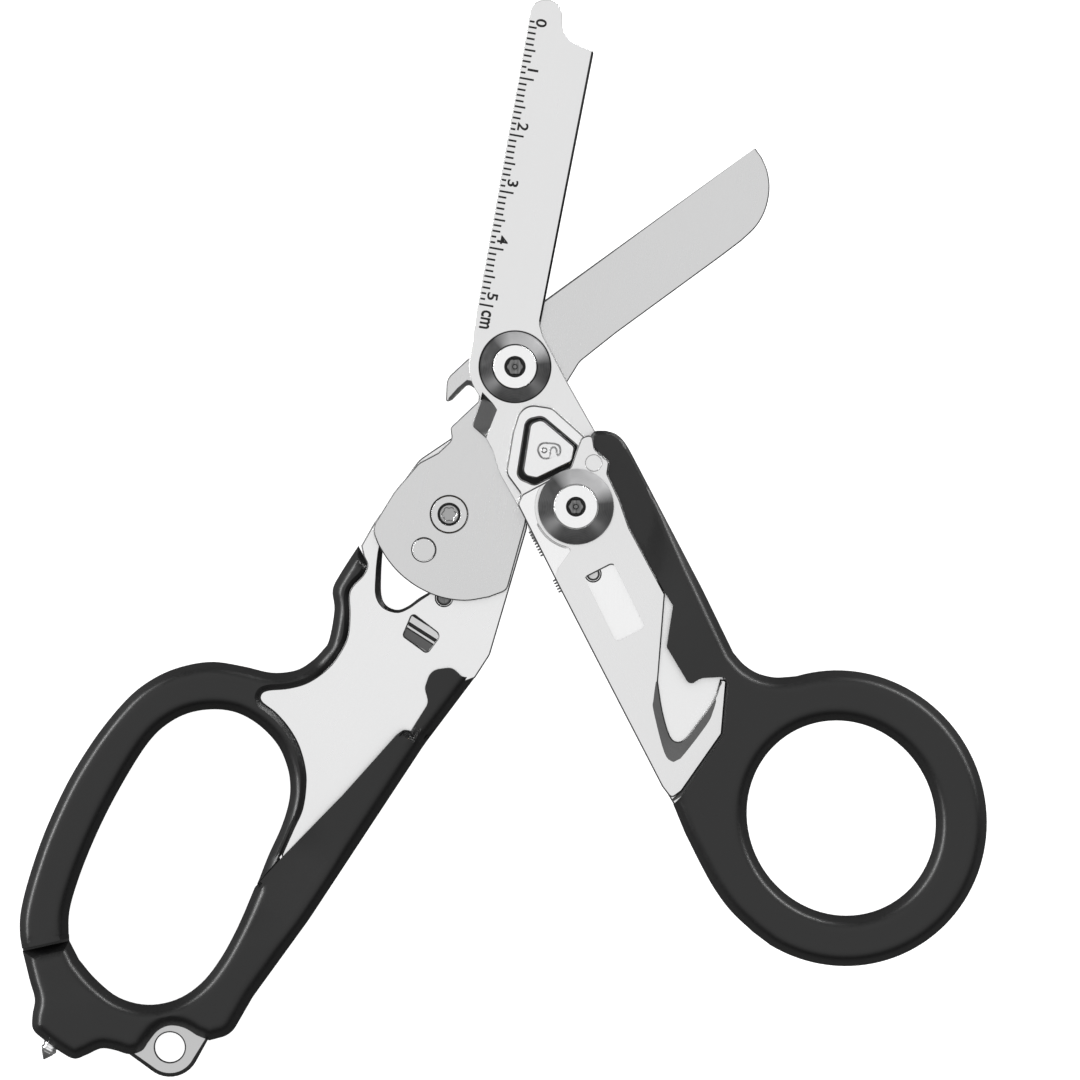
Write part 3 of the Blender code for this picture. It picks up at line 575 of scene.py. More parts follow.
def meshed(name, verts, faces):
    mesh = bpy.data.meshes.new(name)
    mesh.from_pydata(verts, [], faces)
    return mesh


def linked(name, data):
    """A new object in the scene."""
    obj = bpy.data.objects.new(name, data)
    bpy.context.scene.collection.objects.link(obj)
    return obj


def place(obj, body, stuff, slot=None, *nodes):
    """Give a piece its material or materials, its body and the CAD nodes it stands for; its slot is not used.
    """
    for one in stuff if isinstance(stuff, list) else [stuff]:
        obj.data.materials.append(one)
    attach(obj, body)
    if nodes:
        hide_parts(*nodes)


def disc(name, centre, radius, low, high, body, stuff, slot, *nodes, step=6.0, **shape):
    """A round piece about its own axis, put in its place."""
    piece = solid(name, circle(centre, radius, step), low, high, pivot=centre, **shape)
    place(piece, body, stuff, slot, *nodes)


# -------- materials

def add(tree, kind, inputs):
    """A new node, its inputs, by name or number, set to values or linked to sockets."""
    node = tree.nodes.new("ShaderNode" + kind)
    feed(node, inputs)
    return node


def feed(node, inputs):
    for key, value in inputs.items():
        if isinstance(value, bpy.types.NodeSocket):
            node.id_data.links.new(value, node.inputs[key])
        else:
            node.inputs[key].default_value = value


def new_material(name, metallic, roughness, specular=0.5):
    stuff = bpy.data.materials.new(name)
    stuff.use_nodes = True
    shader = stuff.node_tree.nodes["Principled BSDF"]
    feed(shader, {"Metallic": metallic, "Roughness": roughness, "Specular IOR Level": specular})
    return stuff, shader


def own_place(shader):
    """The place on the piece, in its own coordinates."""
    return add(shader.id_data, "TexCoord", {}).outputs["Object"]


def noise(shader, scale, stretch=(1, 1, 1), turn=0.0, detail=3.0, rough=0.55):
    """Noise over the piece, optionally drawn out along one direction."""
    mapping = add(shader.id_data, "Mapping", {
        "Vector": own_place(shader), "Rotation": (0, 0, radians(turn)), "Scale": stretch})
    mapping.vector_type = "TEXTURE"
    return add(shader.id_data, "TexNoise", {
        "Vector": mapping.outputs[0], "Scale": scale, "Detail": detail, "Roughness": rough}).outputs["Fac"]


def spread(value, low, high, start=0.3, end=0.7):
    """A value mapped from the noise's middle range to between two numbers."""
    return add(value.id_data, "MapRange", {
        "Value": value, "From Min": start, "From Max": end, "To Min": low, "To Max": high}).outputs[0]


def around(value, middle, reach):
    """A value mapped from the noise's middle range to as much as a reach either side of a number."""
    return spread(value, middle - reach, middle + reach)


def maths(operation, a, b=0.0):
    node = add(a.id_data, "Math", {0: a, 1: b})
    node.operation = operation
    return node.outputs[0]


def total(first, *others):
    for other in others:
        first = maths("ADD", first, other)
    return first


def tinted(shader, value, tint=(1.0, 1.0, 1.0)):
    """Drives the base colour with a grey value, times a tint."""
    shares = {channel: maths("MULTIPLY", value, share) for channel, share in enumerate(tint)}
    feed(shader, {"Base Color": add(shader.id_data, "CombineColor", shares).outputs[0]})


def finished(shader, roughness, height, distance, strength):
    """Drives the roughness and the bump."""
    bump = add(shader.id_data, "Bump", {
        "Distance": distance, "Strength": strength, "Height": height})
    feed(shader, {"Roughness": roughness, "Normal": bump.outputs[0]})


def steel(name, grey, roughness=0.3, turn=0.0, grain=0.005, cloud=0.006):
    """Satin stainless steel: fine drawn grain across a faint cloudiness."""
    stuff, shader = new_material(name, 1.0, roughness)
    lines = noise(shader, 3200, (1.0, 30.0, 1.0), turn, 4.0)
    specks = noise(shader, 5200, detail=2.0)
    clouds = noise(shader, 30, detail=2.0)
    tone = total(around(lines, grey, grey * grain), around(clouds, 0.0, cloud * grey),
                 around(specks, 0.0, 0.008))
    tinted(shader, tone, (1.0, 1.0, 1.002))
    rough = total(around(lines, roughness, 0.012), around(clouds, 0.0, 0.01))
    finished(shader, rough, total(lines, specks), 0.0000012, 0.15)
    return stuff


def collar_steel(name, dark, light):
    """Lathe-turned steel: rings round the piece's own axis, and a fan of light painted into its colour by
    angle.
    """
    stuff, shader = new_material(name, 1.0, 0.42)
    x, y, _ = add(shader.id_data, "SeparateXYZ", {0: own_place(shader)}).outputs
    angle = maths("ARCTAN2", y, x)

    def streak(direction, narrowness, strength):
        aim = maths("COSINE", maths("SUBTRACT", angle, radians(direction)))
        return maths("MULTIPLY", maths("POWER", maths("MAXIMUM", aim), narrowness), strength)

    # one broad painted wedge of light and two narrow painted streaks
    wedge = spread(maths("COSINE", angle), 0.0, 1.0, 0.47, 0.85)
    fan = total(wedge, total(streak(149.0, 30.0, 0.45), streak(-110.0, 40.0, 0.23)))
    radius = maths("SQRT", total(maths("MULTIPLY", x, x), maths("MULTIPLY", y, y)))
    ring_width = 0.28 * MM
    rings = maths("SINE", maths("MULTIPLY", radius, tau / ring_width))
    wander = noise(shader, 700)
    tone = total(spread(fan, dark, light, 0.0, 1.0), maths("MULTIPLY", rings, 0.014),
                 around(wander, 0.0, 0.015))
    tinted(shader, tone, (1.0, 1.0, 1.01))
    finished(shader, around(wander, 0.42, 0.04), rings, 0.000003, 0.5)
    return stuff


def plastic(name, tone, roughness, specular):
    """Glass-filled nylon: a fine moulded grain with faint flow marks."""
    stuff, shader = new_material(name, 0.0, roughness, specular)
    fine = noise(shader, 3200, rough=0.6)
    flow = noise(shader, 60, (1.0, 2.8, 1.0), 35.0)
    tinted(shader, total(around(fine, tone, 0.18 * tone), around(flow, 0.0, 0.12 * tone)), (1.0, 1.0, 1.02))
    rough = total(around(fine, roughness, 0.06), around(flow, 0.0, 0.03))
    finished(shader, rough, fine, 0.000014, 0.5)
    return stuff


def plain(name, metallic, roughness, specular, scale, low, high, tint=(1.0, 1.0, 1.0)):
    """A surface whose grey wanders between two tones."""
    stuff, shader = new_material(name, metallic, roughness, specular)
    tinted(shader, spread(noise(shader, scale), low, high), tint)
    return stuff


BLADE = steel("blade_satin", 0.85, 0.26, turn=-10.4)
TANG = steel("tang_satin", 0.715, 0.28, turn=-10.4)
FRAME = steel("frame_satin", 0.92, 0.26, turn=27.0)
OVAL_PLATE = steel("oval_plate_satin", 0.90, 0.26, turn=-35.0)
CUTTER = steel("cutter_satin", 0.845, 0.26, turn=27.0)
BUTTON = steel("button_satin", 0.92, 0.24)
BRIGHT = steel("bright_satin", 0.97, 0.2, grain=0.01, cloud=0.01)
SPRING = steel("spring_steel", 0.42, 0.3)
# painted shade: dark steel for the driver socket's inside and the small hole below the tang
SOCKET = steel("socket_painted_shade", 0.2, 0.3, grain=0.5)
# painted shade: near-black steel for rounded edges, narrow ground lines, grooves and teeth, drawing dark
# outlines where shade falls
EDGE_SHADE = steel("cut_edge_painted_shade", 0.13, 0.35)
# ground bevels' steel, darkened with painted shade where the bevels turn away from the light
GROUND_SHADE = steel("ground_bevel_painted_shade", 0.15, 0.30, turn=40.0, grain=0.06)
# painted shade: near-black for recess floors, screw wells and the clip slot, where shade falls
POCKET_SHADE = steel("pocket_painted_shade", 0.05, 0.5)
CLIP = steel("clip_steel", 0.70, 0.32, turn=-35.0)
# painted highlight: the collars' fan of light is drawn into their colour
COLLAR = collar_steel("turned_collar_painted_light", 0.10, 0.58)
GRIP = plastic("grip_nylon", 0.0075, 0.40, 0.5)
END = plastic("end_grip_nylon", 0.0068, 0.40, 0.5)
CARBIDE = steel("ground_carbide", 0.55, 0.25)
# painted shade: the lanyard tab's face, darker than the plate round it
TAB = steel("tab_painted_shade", 0.62, 0.3, turn=-35.0)
BRONZE = plain("washer_bronze_turned", 1.0, 0.4, 0.5, 1200, 0.5, 0.65, (1.0, 0.68, 0.36))
INK = plain("laser_mark", 0.0, 0.6, 0.2, 2500, 0.012, 0.03)


# -------- blades

def ruler_blade():
    # the collar's seat, the bore for the round handle's screw and the lock button's pocket
    collar_seat_r, collar_seat_z = 6.3, 1.5
    screw_bore_r = 3.35
    pocket_floor = 0.6
    cutting_edge = [(4.6, 8.0), (13.7, 54.7)]
    ring_cutter = Bevel([(-5.75, -4.5), (-5.9, -5.6), (-7.5, -10.3), (-7.0, -11.0), (-5.1, -12.5)],
                        [(-5.7, -4.4), (-3.8, -6.4), (-3.1, -7.5), (-4.1, -10.0), (-5.0, -12.5)], 0.8, 1)
    right_edge = spaced([(4.6, 8.0), (4.4, 7.2), (4.9, 5.4), (9.2, -2.8), (18.6, -19.6)], 1.5, False)
    # painted shade: the recesses take near-black steel; the ground cutting edge, right edge and ring cutter's
    # bevel take dark edge steel
    blade = solid(
        "ruler_blade_body", rounded(RULER_BLADE), BLADE_GAP, BLADE_FACE, holes=[circle(ROUND, screw_bore_r)],
        recesses=[(circle(SHEAR, collar_seat_r), collar_seat_z, 3), (rounded(LOCK_WINDOW), pocket_floor, 3)],
        edge=0.12, top=[Ground(cutting_edge, 0.42, 0.5, 1), Ground(right_edge, 0.2, 0.1, 1), ring_cutter])
    place(blade, "ruler_blade_group", [BLADE, EDGE_SHADE, GROUND_SHADE, POCKET_SHADE], "blade_steel", "ruler_blade")


def plain_blade():
    back_collar_bore_r, nut_bore_r = 6.35, 3.2
    hook_edge = [(-11.0, -5.8), (-9.6, -4.2), (-8.2, -3.0), (-7.1, -3.2), (-6.3, -4.2)]
    cutting_edge = [(41.6, 38.0), (0.0, 7.9)]
    button_pocket = Level(rounded(mirrored(LOCK_WINDOW)), 0.04, 1.7)
    # painted shade: the edges take dark edge steel and the hook's ground bevel the darkened bevel steel
    blade = solid(
        "plain_blade_body", rounded(PLAIN_BLADE), -BLADE_FACE, -BLADE_GAP,
        holes=[circle(SHEAR, back_collar_bore_r), circle(OVAL, nut_bore_r),
               circle(TANG_PIN, TANG_PIN_HOLE_R)],
        edge=0.2, top=[Ground(hook_edge, 0.7, 0.4, 2)], edge_finish=1,
        bottom=[Ground(cutting_edge, 1.3, 0.9), button_pocket])
    place(blade, "plain_blade_group", [TANG, EDGE_SHADE, GROUND_SHADE], "blade_steel", "plain_blade")


def box_on(points, low, high):
    """A small straight-sided block over a loop, as vertices and faces for a joined mesh."""
    count = len(points)
    verts = [(x, y, low) for x, y in points] + [(x, y, high) for x, y in points]
    faces = [tuple(range(count))[::-1], tuple(range(count, 2 * count))]
    faces += [(i, (i + 1) % count, count + (i + 1) % count, count + i) for i in range(count)]
    return verts, faces


def joined(name, blocks):
    verts, faces = [], []
    for some_verts, some_faces in blocks:
        start = len(verts)
        verts.extend((Vector(v) * MM + PIVOT)[:] for v in some_verts)
        faces.extend(tuple(start + i for i in face) for face in some_faces)
    return linked(name, meshed(name, verts, faces))


def text_blocks(words, size, wide, at, turn, low, high):
    """A figure or unit in the plain built-in typeface, as blocks; at is the middle of its foot."""
    curve = bpy.data.curves.new("lettering", "FONT")
    curve.body = words
    curve.size = size
    curve.align_x = "CENTER"
    curve.resolution_u = 3
    curve.offset = 0.022 * size
    holder = linked("lettering", curve)
    bpy.context.view_layer.update()
    mesh = bpy.data.meshes.new_from_object(holder.evaluated_get(bpy.context.evaluated_depsgraph_get()))
    work = bmesh.new()
    work.from_mesh(mesh)
    bmesh.ops.remove_doubles(work, verts=work.verts, dist=1e-5)
    front = list(work.faces)
    bmesh.ops.recalc_face_normals(work, faces=front)
    for part in bmesh.ops.extrude_face_region(work, geom=front)["geom"]:
        if isinstance(part, bmesh.types.BMVert):
            part.co.z += high - low
    bmesh.ops.recalc_face_normals(work, faces=work.faces)
    turned = Matrix.Rotation(radians(turn), 3, "Z")
    work.verts.index_update()
    verts = []
    for vert in work.verts:
        spot = turned @ Vector((vert.co.x * wide, vert.co.y, 0))
        verts.append((at[0] + spot.x, at[1] + spot.y, low + vert.co.z))
    faces = [tuple(v.index for v in face.verts) for face in work.faces]
    work.free()
    bpy.data.objects.remove(holder)
    return verts, faces


def ruler_marks():
    """Millimetre ticks along the blade's straight edge, with a figure at each centimetre."""
    zero, fifth = Vector((2.5, 60.25)), Vector((-6.3, 10.95))
    down = (fifth - zero) / 50.0
    along = down.normalized()
    inward = Vector((-along.y, along.x))
    low, high = BLADE_FACE - 0.06, BLADE_FACE + 0.012
    at_centimetre, at_half, plain_length, beside_figure = 2.5, 1.9, 1.4, 0.85
    half = along * 0.17
    blocks = []
    for k in range(51):
        length = at_centimetre if k % 10 == 0 else at_half if k % 5 == 0 else plain_length
        if k % 10 in (8, 9) or k == 0:
            length = beside_figure
        foot = zero + down * k + inward * 0.08
        end = foot + inward * length
        corners = (foot - half, foot + half, end + half, end - half)
        blocks.append(box_on([tuple(p) for p in corners], low, high))
    facing = degrees(atan2(along.y, along.x))
    for figure in range(6):
        before_tick = 1.65 if figure else 0.0
        spot = zero + down * (10 * figure - before_tick) + inward * 1.25
        blocks.append(text_blocks(str(figure), 2.6, 1.15, spot, facing, low, high))
    blocks.append(text_blocks("cm", 3.5, 0.8, fifth + down * 2.5 + inward * 0.8, facing, low, high))
    place(joined("ruler_marks", blocks), "ruler_blade_group", INK)


# -------- pivots, pins and buttons

def star(centre, radius, depth=0.16, step=5.0):
    """A six-lobed driver socket's outline."""
    out = []
    for k in range(int(360 / step)):
        a = radians(k * step)
        r = radius * (1 - depth * (0.5 - 0.5 * cos(6 * a)))
        out.append((centre[0] + r * cos(a), centre[1] + r * sin(a)))
    return out


SCREW_HEAD_R, SCREW_HEAD_THICKNESS, SCREW_SOCKET_DEPTH = 3.8, 1.3, 0.9
COLLAR_BORE_R = 3.95
# how far the collars' painted fan of light is turned
PAINTED_FAN_TURN = radians(68.0)


def screw(name, node, body, centre, high, socket, flip=False):
    """A flat screw head with a round well, in which a small six-lobed socket stands."""
    floor = high - SCREW_SOCKET_DEPTH
    # painted shade: the well's floor and walls and the socket take dark steel
    well = circle(centre, socket * 0.94)
    head = solid(name, circle(centre, SCREW_HEAD_R, 5.0), high - SCREW_HEAD_THICKNESS, high,
                 recesses=[(well, floor, 1)], edge=0.14, pivot=centre, square=[closed(well)])
    pin = solid(name + "_socket_pin", star(centre, socket * 0.78, 0.14), floor - 0.05, floor + 0.75, edge=0.3,
                top=[Turned(centre, [(0, 0.0), (0.3, 0.05), (0.5, 0.35), (0.8, 0.25)])], pivot=centre)
    for piece, stuff, *nodes in ((head, [BRIGHT, POCKET_SHADE], node), (pin, SOCKET)):
        if flip:
            piece.rotation_euler = (pi, 0, 0)
        place(piece, body, stuff, "bright_steel", *nodes)


def collar(name, node, body, centre, outer, low, high, fall, flip=False):
    """A coned washer with its painted fan of light."""
    cone = [(COLLAR_BORE_R, 0.0), (COLLAR_BORE_R + 0.15, 0.02), (outer - 0.15, fall)]
    ring = solid(name, circle(centre, outer, 4.0), low, high, holes=[circle(centre, COLLAR_BORE_R, 5.0)],
                 edge=0.1, rings=2, top=[Turned(centre, cone, 4.0)], pivot=centre)
    ring.rotation_euler = (pi if flip else 0.0, 0, PAINTED_FAN_TURN)
    place(ring, body, COLLAR, "dark_collar", node)


def pivots():
    front, back = "ruler_blade_group", "plain_blade_group"
    screw("shear_screw_head", "shear_pivot_screw", front, SHEAR, 3.2, 2.0)
    screw("shear_nut_head", "shear_pivot_nut", front, SHEAR, 3.2, 2.0, True)
    collar("shear_collar_ring", "shear_pivot_collar", front, SHEAR, 6.15, 1.6, 3.12, 0.9)
    collar("shear_back_collar_ring", "shear_back_collar", front, SHEAR, 6.1, 1.6, 3.12, 0.9, True)
    screw("round_screw_head", "round_pivot_screw", front, ROUND, 9.2, 1.85)
    collar("round_collar_ring", "round_pivot_collar", front, ROUND, 6.6, 7.15, 9.1, 1.1)
    screw("oval_screw_head", "oval_pivot_screw", back, OVAL, 7.4, 1.85, True)
    collar("oval_collar_ring", "oval_pivot_collar", back, OVAL, 6.6, 5.2, 7.3, 1.1, True)
    # painted shade: the nut's recess takes near-black steel
    disc("oval_nut_face", OVAL, 3.12, -0.95, -0.12, back, [TANG, POCKET_SHADE], "bright_steel", "oval_pivot_nut",
         step=5.0, edge=0.06, recesses=[(circle(OVAL, 2.0), -0.8, 1)])
    disc("oval_nut_socket", OVAL, 1.72, -0.85, -0.3, back, SPRING, "bright_steel", edge=0.3,
         recesses=[(star(OVAL, 1.2, 0.2), -0.75)])
    disc("tang_pin_head", TANG_PIN, TANG_PIN_R, -BLADE_FACE, -BLADE_GAP, back, TANG, "bright_steel",
         "tang_pin", edge=0.08)
    disc("strap_cutter_pin_head", CUTTER_PIN, CUTTER_PIN_R, CUTTER_BACK, CUTTER_FACE, "strap_cutter_group",
         CUTTER, "bright_steel", "strap_cutter_pin", edge=0.1,
         top=[Turned(CUTTER_PIN, [(0, 0.0), (0.9, 0.03), (CUTTER_PIN_R, 0.1)])])


def buttons():
    """The lock buttons; the round handle's carries a plain padlock sign, lying on its side."""
    padlock = smooth([
        (6.0, -15.9), (5.2, -16.0), (4.55, -15.7), (4.1, -14.9), (4.05, -14.2), (4.4, -13.6), (5.05, -13.3),
        (6.1, -13.35), (7.05, -13.45), (7.7, -13.8), (7.9, -14.5), (7.8, -15.15), (7.5, -15.45),
        (7.25, -15.1), (7.25, -14.5), (6.9, -14.05), (6.4, -14.15), (6.15, -14.6), (6.15, -15.15)], 3)
    keyhole = arc((5.1, -14.55), 0.42, 0, 350, 20.0)
    sign = [Groove(padlock, 0.36, 0.09, 2), Groove(keyhole, 0.28, 0.09, 2)]
    foot, face = 2.45, 3.3
    outline = shifted(rounded(LOCK_BUTTON), -0.22, True)
    # painted shade: the button's rounded edge takes dark edge steel
    button = solid("round_lock_button_cap", outline, foot, face, edge=0.3, edge_finish=1, top=sign)
    place(button, "round_button", [BUTTON, EDGE_SHADE, SPRING], "frame_steel", "round_lock_button")
    button = solid("oval_lock_button_cap", rounded(mirrored(LOCK_BUTTON)), -face, -foot, edge=0.3)
    place(button, "oval_button", BUTTON, "frame_steel", "oval_lock_button")


# -------- round handle

def round_handle():
    # painted shadow: the grooves beside the grip and beside the cutter's tip, and the plate's and sight
    # hole's edges, take dark edge steel
    beside_grip = [(25.95, -39.1), (19.95, -28.1), (18.25, -23.2), (16.15, -18.7), (16.4, -16.6)]
    beside_tip = [(36.6, -54.35), (37.1, -55.0), (36.25, -63.95), (29.0, -74.3), (27.6, -75.6)]
    window_seat = shifted(rounded(CUTTER_WINDOW), 0.4, True)
    plate = solid(
        "round_frame_plate", rounded(ROUND_FRAME), FRAME_BACK, FRAME_FACE, edge=0.26, edge_finish=1,
        holes=[rounded(LOCK_WINDOW), circle(ROUND, FRAME_BORE_R), circle(SIGHT_HOLE, SIGHT_HOLE_R)],
        pivot=ROUND, top=[Level(window_seat, 0.3, 0.06, 2), Groove(beside_grip, 1.0, 0.1, 1),
                          Groove(beside_tip, 0.8, 0.1, 1)])
    place(plate, "round_handle", [FRAME, EDGE_SHADE, BRIGHT], "frame_steel", "round_handle_frame")
    disc("sight_hole_plug", SIGHT_HOLE, SIGHT_HOLE_R - 0.06, FRAME_BACK + 0.1, FRAME_FACE - 0.3,
         "round_handle", [TANG, EDGE_SHADE], "frame_steel", step=10.0, edge=0.36, edge_finish=1)
    jimping()
    outline = spaced(rounded(ROUND_GRIP))
    # the side along the steel is moulded square
    turn = nearest_corner(outline, RING_MEETS_PLATE)
    # the grip thins out from the ring to its horn, where its back is level with the plate's
    fall = Turned(ROUND, [(0, 4.08), (13.5, 4.08), (14.5, 3.75), (16.0, 3.2), (19.0, 2.3), (22.0, 1.5),
                          (25.0, 0.8), (28.0, 0.3), (31.0, 0.05), (33.0, 0.0)])
    rise = Turned(ROUND, [(0, 0.75), (33.2, 0.75), (34.6, 0.0)])
    hole = oval(RING_CENTRE, RING_HOLE_ACROSS, RING_HOLE_ALONG, RING_TILT, 0.0, 360.0)[:-1]
    grip = solid("round_grip_moulding", outline, GRIP_BACK, GRIP_FACE, holes=[hole], edge=2.6, low_edge=1.2,
                 moulded=True, square=[outline[turn:] + outline[:1]], top=[fall], bottom=[rise], pivot=ROUND)
    place(grip, "round_handle", GRIP, "black_grip", "round_handle_grip")


def nearest_corner(outline, spot):
    """The number of the outline's point that is nearest to a place."""
    return int(np.argmin(np.linalg.norm(np.array(outline) - spot, axis=1)))


def jimping():
    """The two rows of fine teeth on the round frame plate's left edge."""
    pitch, root, height = 0.56, 0.2, 0.65
    teeth = []
    for start, end in (((2.9, -28.5), (5.17, -33.0)), ((7.1, -36.9), (8.3, -39.3))):
        start, end = Vector(start), Vector(end)
        count = round((end - start).length / pitch)
        along = (end - start) / count
        out = Vector((along.y, -along.x)).normalized()
        for k in range(count):
            foot = start + along * k
            corners = ((0.0, -root), (0.72, -root), (0.6, height), (0.12, height))
            teeth.append(box_on([tuple(foot + along * u + out * v) for u, v in corners],
                                FRAME_BACK + 0.15, FRAME_FACE - 0.2))
    # painted shade: the teeth take dark edge steel
    place(joined("jimping", teeth), "round_handle", EDGE_SHADE, "frame_steel")


def strap_cutter():
    throat = smooth(CUTTER_THROAT + [(35.7, -54.4)])
    shoulder = smooth([(24.6, -54.2), (24.1, -57.9), (24.1, -59.9), (26.0, -67.2), (27.6, -68.8),
                       (28.8, -68.2), (33.3, -62.4), (34.5, -59.9), (35.3, -57.2), (36.2, -54.6)])
    relief_arc = arc(ROUND, 7.3, 205, 262)
    thumb_face = [(4.8, -19.6), (-1.0, -22.0), (-1.0, -25.0), (6.4, -38.0), (7.6, -35.0), (9.7, -32.2),
                  *arc(ROUND, 7.1, 256, 150, 8.0)]
    pin_hole = circle(CUTTER_PIN, CUTTER_PIN_HOLE_R)
    # of the window's sides only the upper one has a rounded edge
    a, b, c, d = (p[:2] for p in CUTTER_WINDOW)
    # painted shade: the edges take dark edge steel and the V's bevel the darkened bevel steel
    blade = solid(
        "strap_cutter_body", spaced(rounded(STRAP_CUTTER)), CUTTER_BACK, CUTTER_FACE, edge=0.24,
        holes=[spaced(rounded(CUTTER_WINDOW), 0.5), circle(ROUND, FRAME_BORE_R), pin_hole],
        pivot=ROUND, edge_finish=1, square=[[b, c], [c, d], [d, a], closed(pin_hole)],
        top=[Level(thumb_face, 0.12, 0.05, 3), Bevel(throat, shoulder, 0.6, 2, 0.3),
             Groove(relief_arc, 0.45, 0.08)])
    place(blade, "strap_cutter_group", [CUTTER, EDGE_SHADE, GROUND_SHADE, BRIGHT], "frame_steel", "strap_cutter")


# -------- oval handle

def oval_handle():
    lip = smooth([(-22.9, -30.2), (-23.2, -33.0), (-23.4, -36.5), (-23.35, -39.8), (-22.5, -41.6),
                  (-20.6, -42.4), (-18.7, -41.75), (-16.8, -40.35), (-14.8, -39.2)])
    rim = smooth([(-23.6, -30.2), (-24.1, -33.0), (-24.4, -36.5), (-24.4, -39.9), (-23.1, -42.1),
                  (-20.6, -42.95), (-18.5, -42.2), (-16.5, -40.8), (-14.8, -39.7)])
    fold_window = lip + [(-13.4, -38.0), (-14.4, -33.0), (-20.0, -27.2)]
    tab = [(-52.0, -112.5), (-52.0, -126.0), (-70.0, -126.0), (-70.0, -112.5)]
    tab_rim = spaced([(-68.4, -119.4), *arc(TAB_HOLE, TAB_R, 238.0, 332.0, 6.0), (-53.2, -117.2)], 0.8, False)
    # painted shade: the edges and the fold window's bevel take dark edge steel, the tab's face darker steel
    # and the tab hole's rim the darkened bevel steel
    plate = solid(
        "oval_frame_plate", rounded(OVAL_FRAME), -FRAME_FACE, -FRAME_BACK, edge=0.24, pivot=OVAL,
        holes=[rounded(mirrored(LOCK_WINDOW)), circle(OVAL, FRAME_BORE_R), fold_window, rounded(CLIP_SLOT),
               circle(TAB_HOLE, TAB_HOLE_R, 5.0), circle(FRAME_HOLE, FRAME_HOLE_R)],
        edge_finish=1, top=[Level(tab, 0.1, 0.05, 2), Bevel(lip, rim, 0.9, 1), Ground(tab_rim, 0.7, 0.5, 3)])
    place(plate, "oval_handle", [OVAL_PLATE, EDGE_SHADE, TAB, GROUND_SHADE], "frame_steel", "oval_handle_frame")
    # painted shade: a dark disc fills the small hole below the tang
    disc("frame_hole_painted_shade", FRAME_HOLE, FRAME_HOLE_R - 0.05, -FRAME_FACE + 0.2, -FRAME_BACK - 0.3,
         "oval_handle", [SOCKET, EDGE_SHADE], "frame_steel", step=10.0, edge=0.45, edge_finish=1)
    clip_in_slot()
    left_seam, right_seam = [(-86.2, -101.75), (-78.05, -99.95)], [(-45.3, -90.65), (-40.65, -85.25)]
    near_pivot = Turned(OVAL, [(0, 0.9), (34.8, 0.9), (37.5, 0.0)])
    loop = solid("oval_loop_moulding", spaced(LOOP_GRIP), -GRIP_FACE, -2.5, edge=2.5, low_edge=1.4,
                 moulded=True, square=[left_seam, right_seam, LOOP_PLATE_SIDE],
                 top=[near_pivot, Fade(LOOP_PLATE_SIDE, 0.9, 0.8)], pivot=OVAL)
    place(loop, "oval_handle", GRIP, "black_grip", "oval_loop_grip")
    outline = spaced(rounded(END_GRIP))
    # the side against the plate is moulded square
    start, finish = (nearest_corner(outline, corner) for corner in ((-40.6, -85.5), (-7.0, -54.2)))
    plate_side = outline[start:] + outline[:finish + 1]
    end = solid("oval_end_moulding", outline, -GRIP_FACE, -0.2, edge=2.6, low_edge=1.4, moulded=True,
                top=[Level(END_GRIP_LOW, 1.4, 2.3), Fade(left_seam, 12.0, 2.3), Fade(right_seam, 11.0, 2.3)],
                pivot=OVAL, square=[left_seam, right_seam, plate_side])
    place(end, "oval_handle", END, "black_grip", "oval_end_grip")
    # what closes the two seams between the mouldings, below their faces
    fillers = [box_on(corners, -8.4, -5.7) for corners in (
        [(-86.15, -100.9), (-78.05, -99.2), (-78.0, -100.9), (-85.95, -102.6)],
        [(-45.0, -90.0), (-41.3, -85.3), (-41.1, -86.1), (-45.0, -91.0)])]
    place(joined("seam_filling", fillers), "oval_handle", END, "black_grip")


def clip_in_slot():
    """The folded end of the pocket clip, as the plate's slot shows it, with painted shade below and beyond
    it.
    """
    corner = Vector((-17.95, -43.2))
    along, down = Vector((4.7, -3.0)), Vector((-1.6, -3.75)) / 4.05

    def bar(start, end, low, high):
        spots = ((-0.02, start), (1.02, start), (1.02, end), (-0.02, end))
        return box_on([tuple(corner + along * u + down * d) for u, d in spots], low, high)

    for name, stuff, bars in (("clip_slot_shadow", POCKET_SHADE, [(-0.1, 4.1, -4.95, -4.6)]),
                              ("clip_slot_fold", CLIP, [(0.25, 1.35, -4.7, -3.8), (2.0, 2.35, -4.7, -4.0)]),
                              ("clip_slot_floor_painted_shade", EDGE_SHADE, [(2.6, 4.1, -4.7, -4.3)])):
        place(joined(name, [bar(*one) for one in bars]), "oval_handle", stuff, "frame_steel")


def spun(name, foot, direction, profile, steps=48):
    """A turned piece along a direction: (radius, distance) pairs from its tip to its far end."""
    verts, faces = [], []
    for radius, along in profile:
        verts += [(x * MM, y * MM, along * MM) for x, y in circle((0, 0), radius, 360.0 / steps)]
    for row in range(len(profile) - 1):
        here, below = row * steps, (row + 1) * steps
        for k in range(steps):
            n = (k + 1) % steps
            faces.append((here + k, below + k, below + n, here + n))
    faces.append(tuple(range(steps)))
    faces.append(tuple(range((len(profile) - 1) * steps, len(profile) * steps))[::-1])
    mesh = meshed(name, verts, faces)
    work = bmesh.new()
    work.from_mesh(mesh)
    bmesh.ops.remove_doubles(work, verts=work.verts, dist=1e-7)
    bmesh.ops.recalc_face_normals(work, faces=work.faces)
    work.to_mesh(mesh)
    work.free()
    obj = linked(name, mesh)
    obj.rotation_euler = direction.to_track_quat("Z", "Y").to_euler()
    obj.location = PIVOT + Vector(foot) * MM
    mesh.shade_smooth()
    mesh.set_sharp_from_angle(angle=radians(30.0))
    return obj


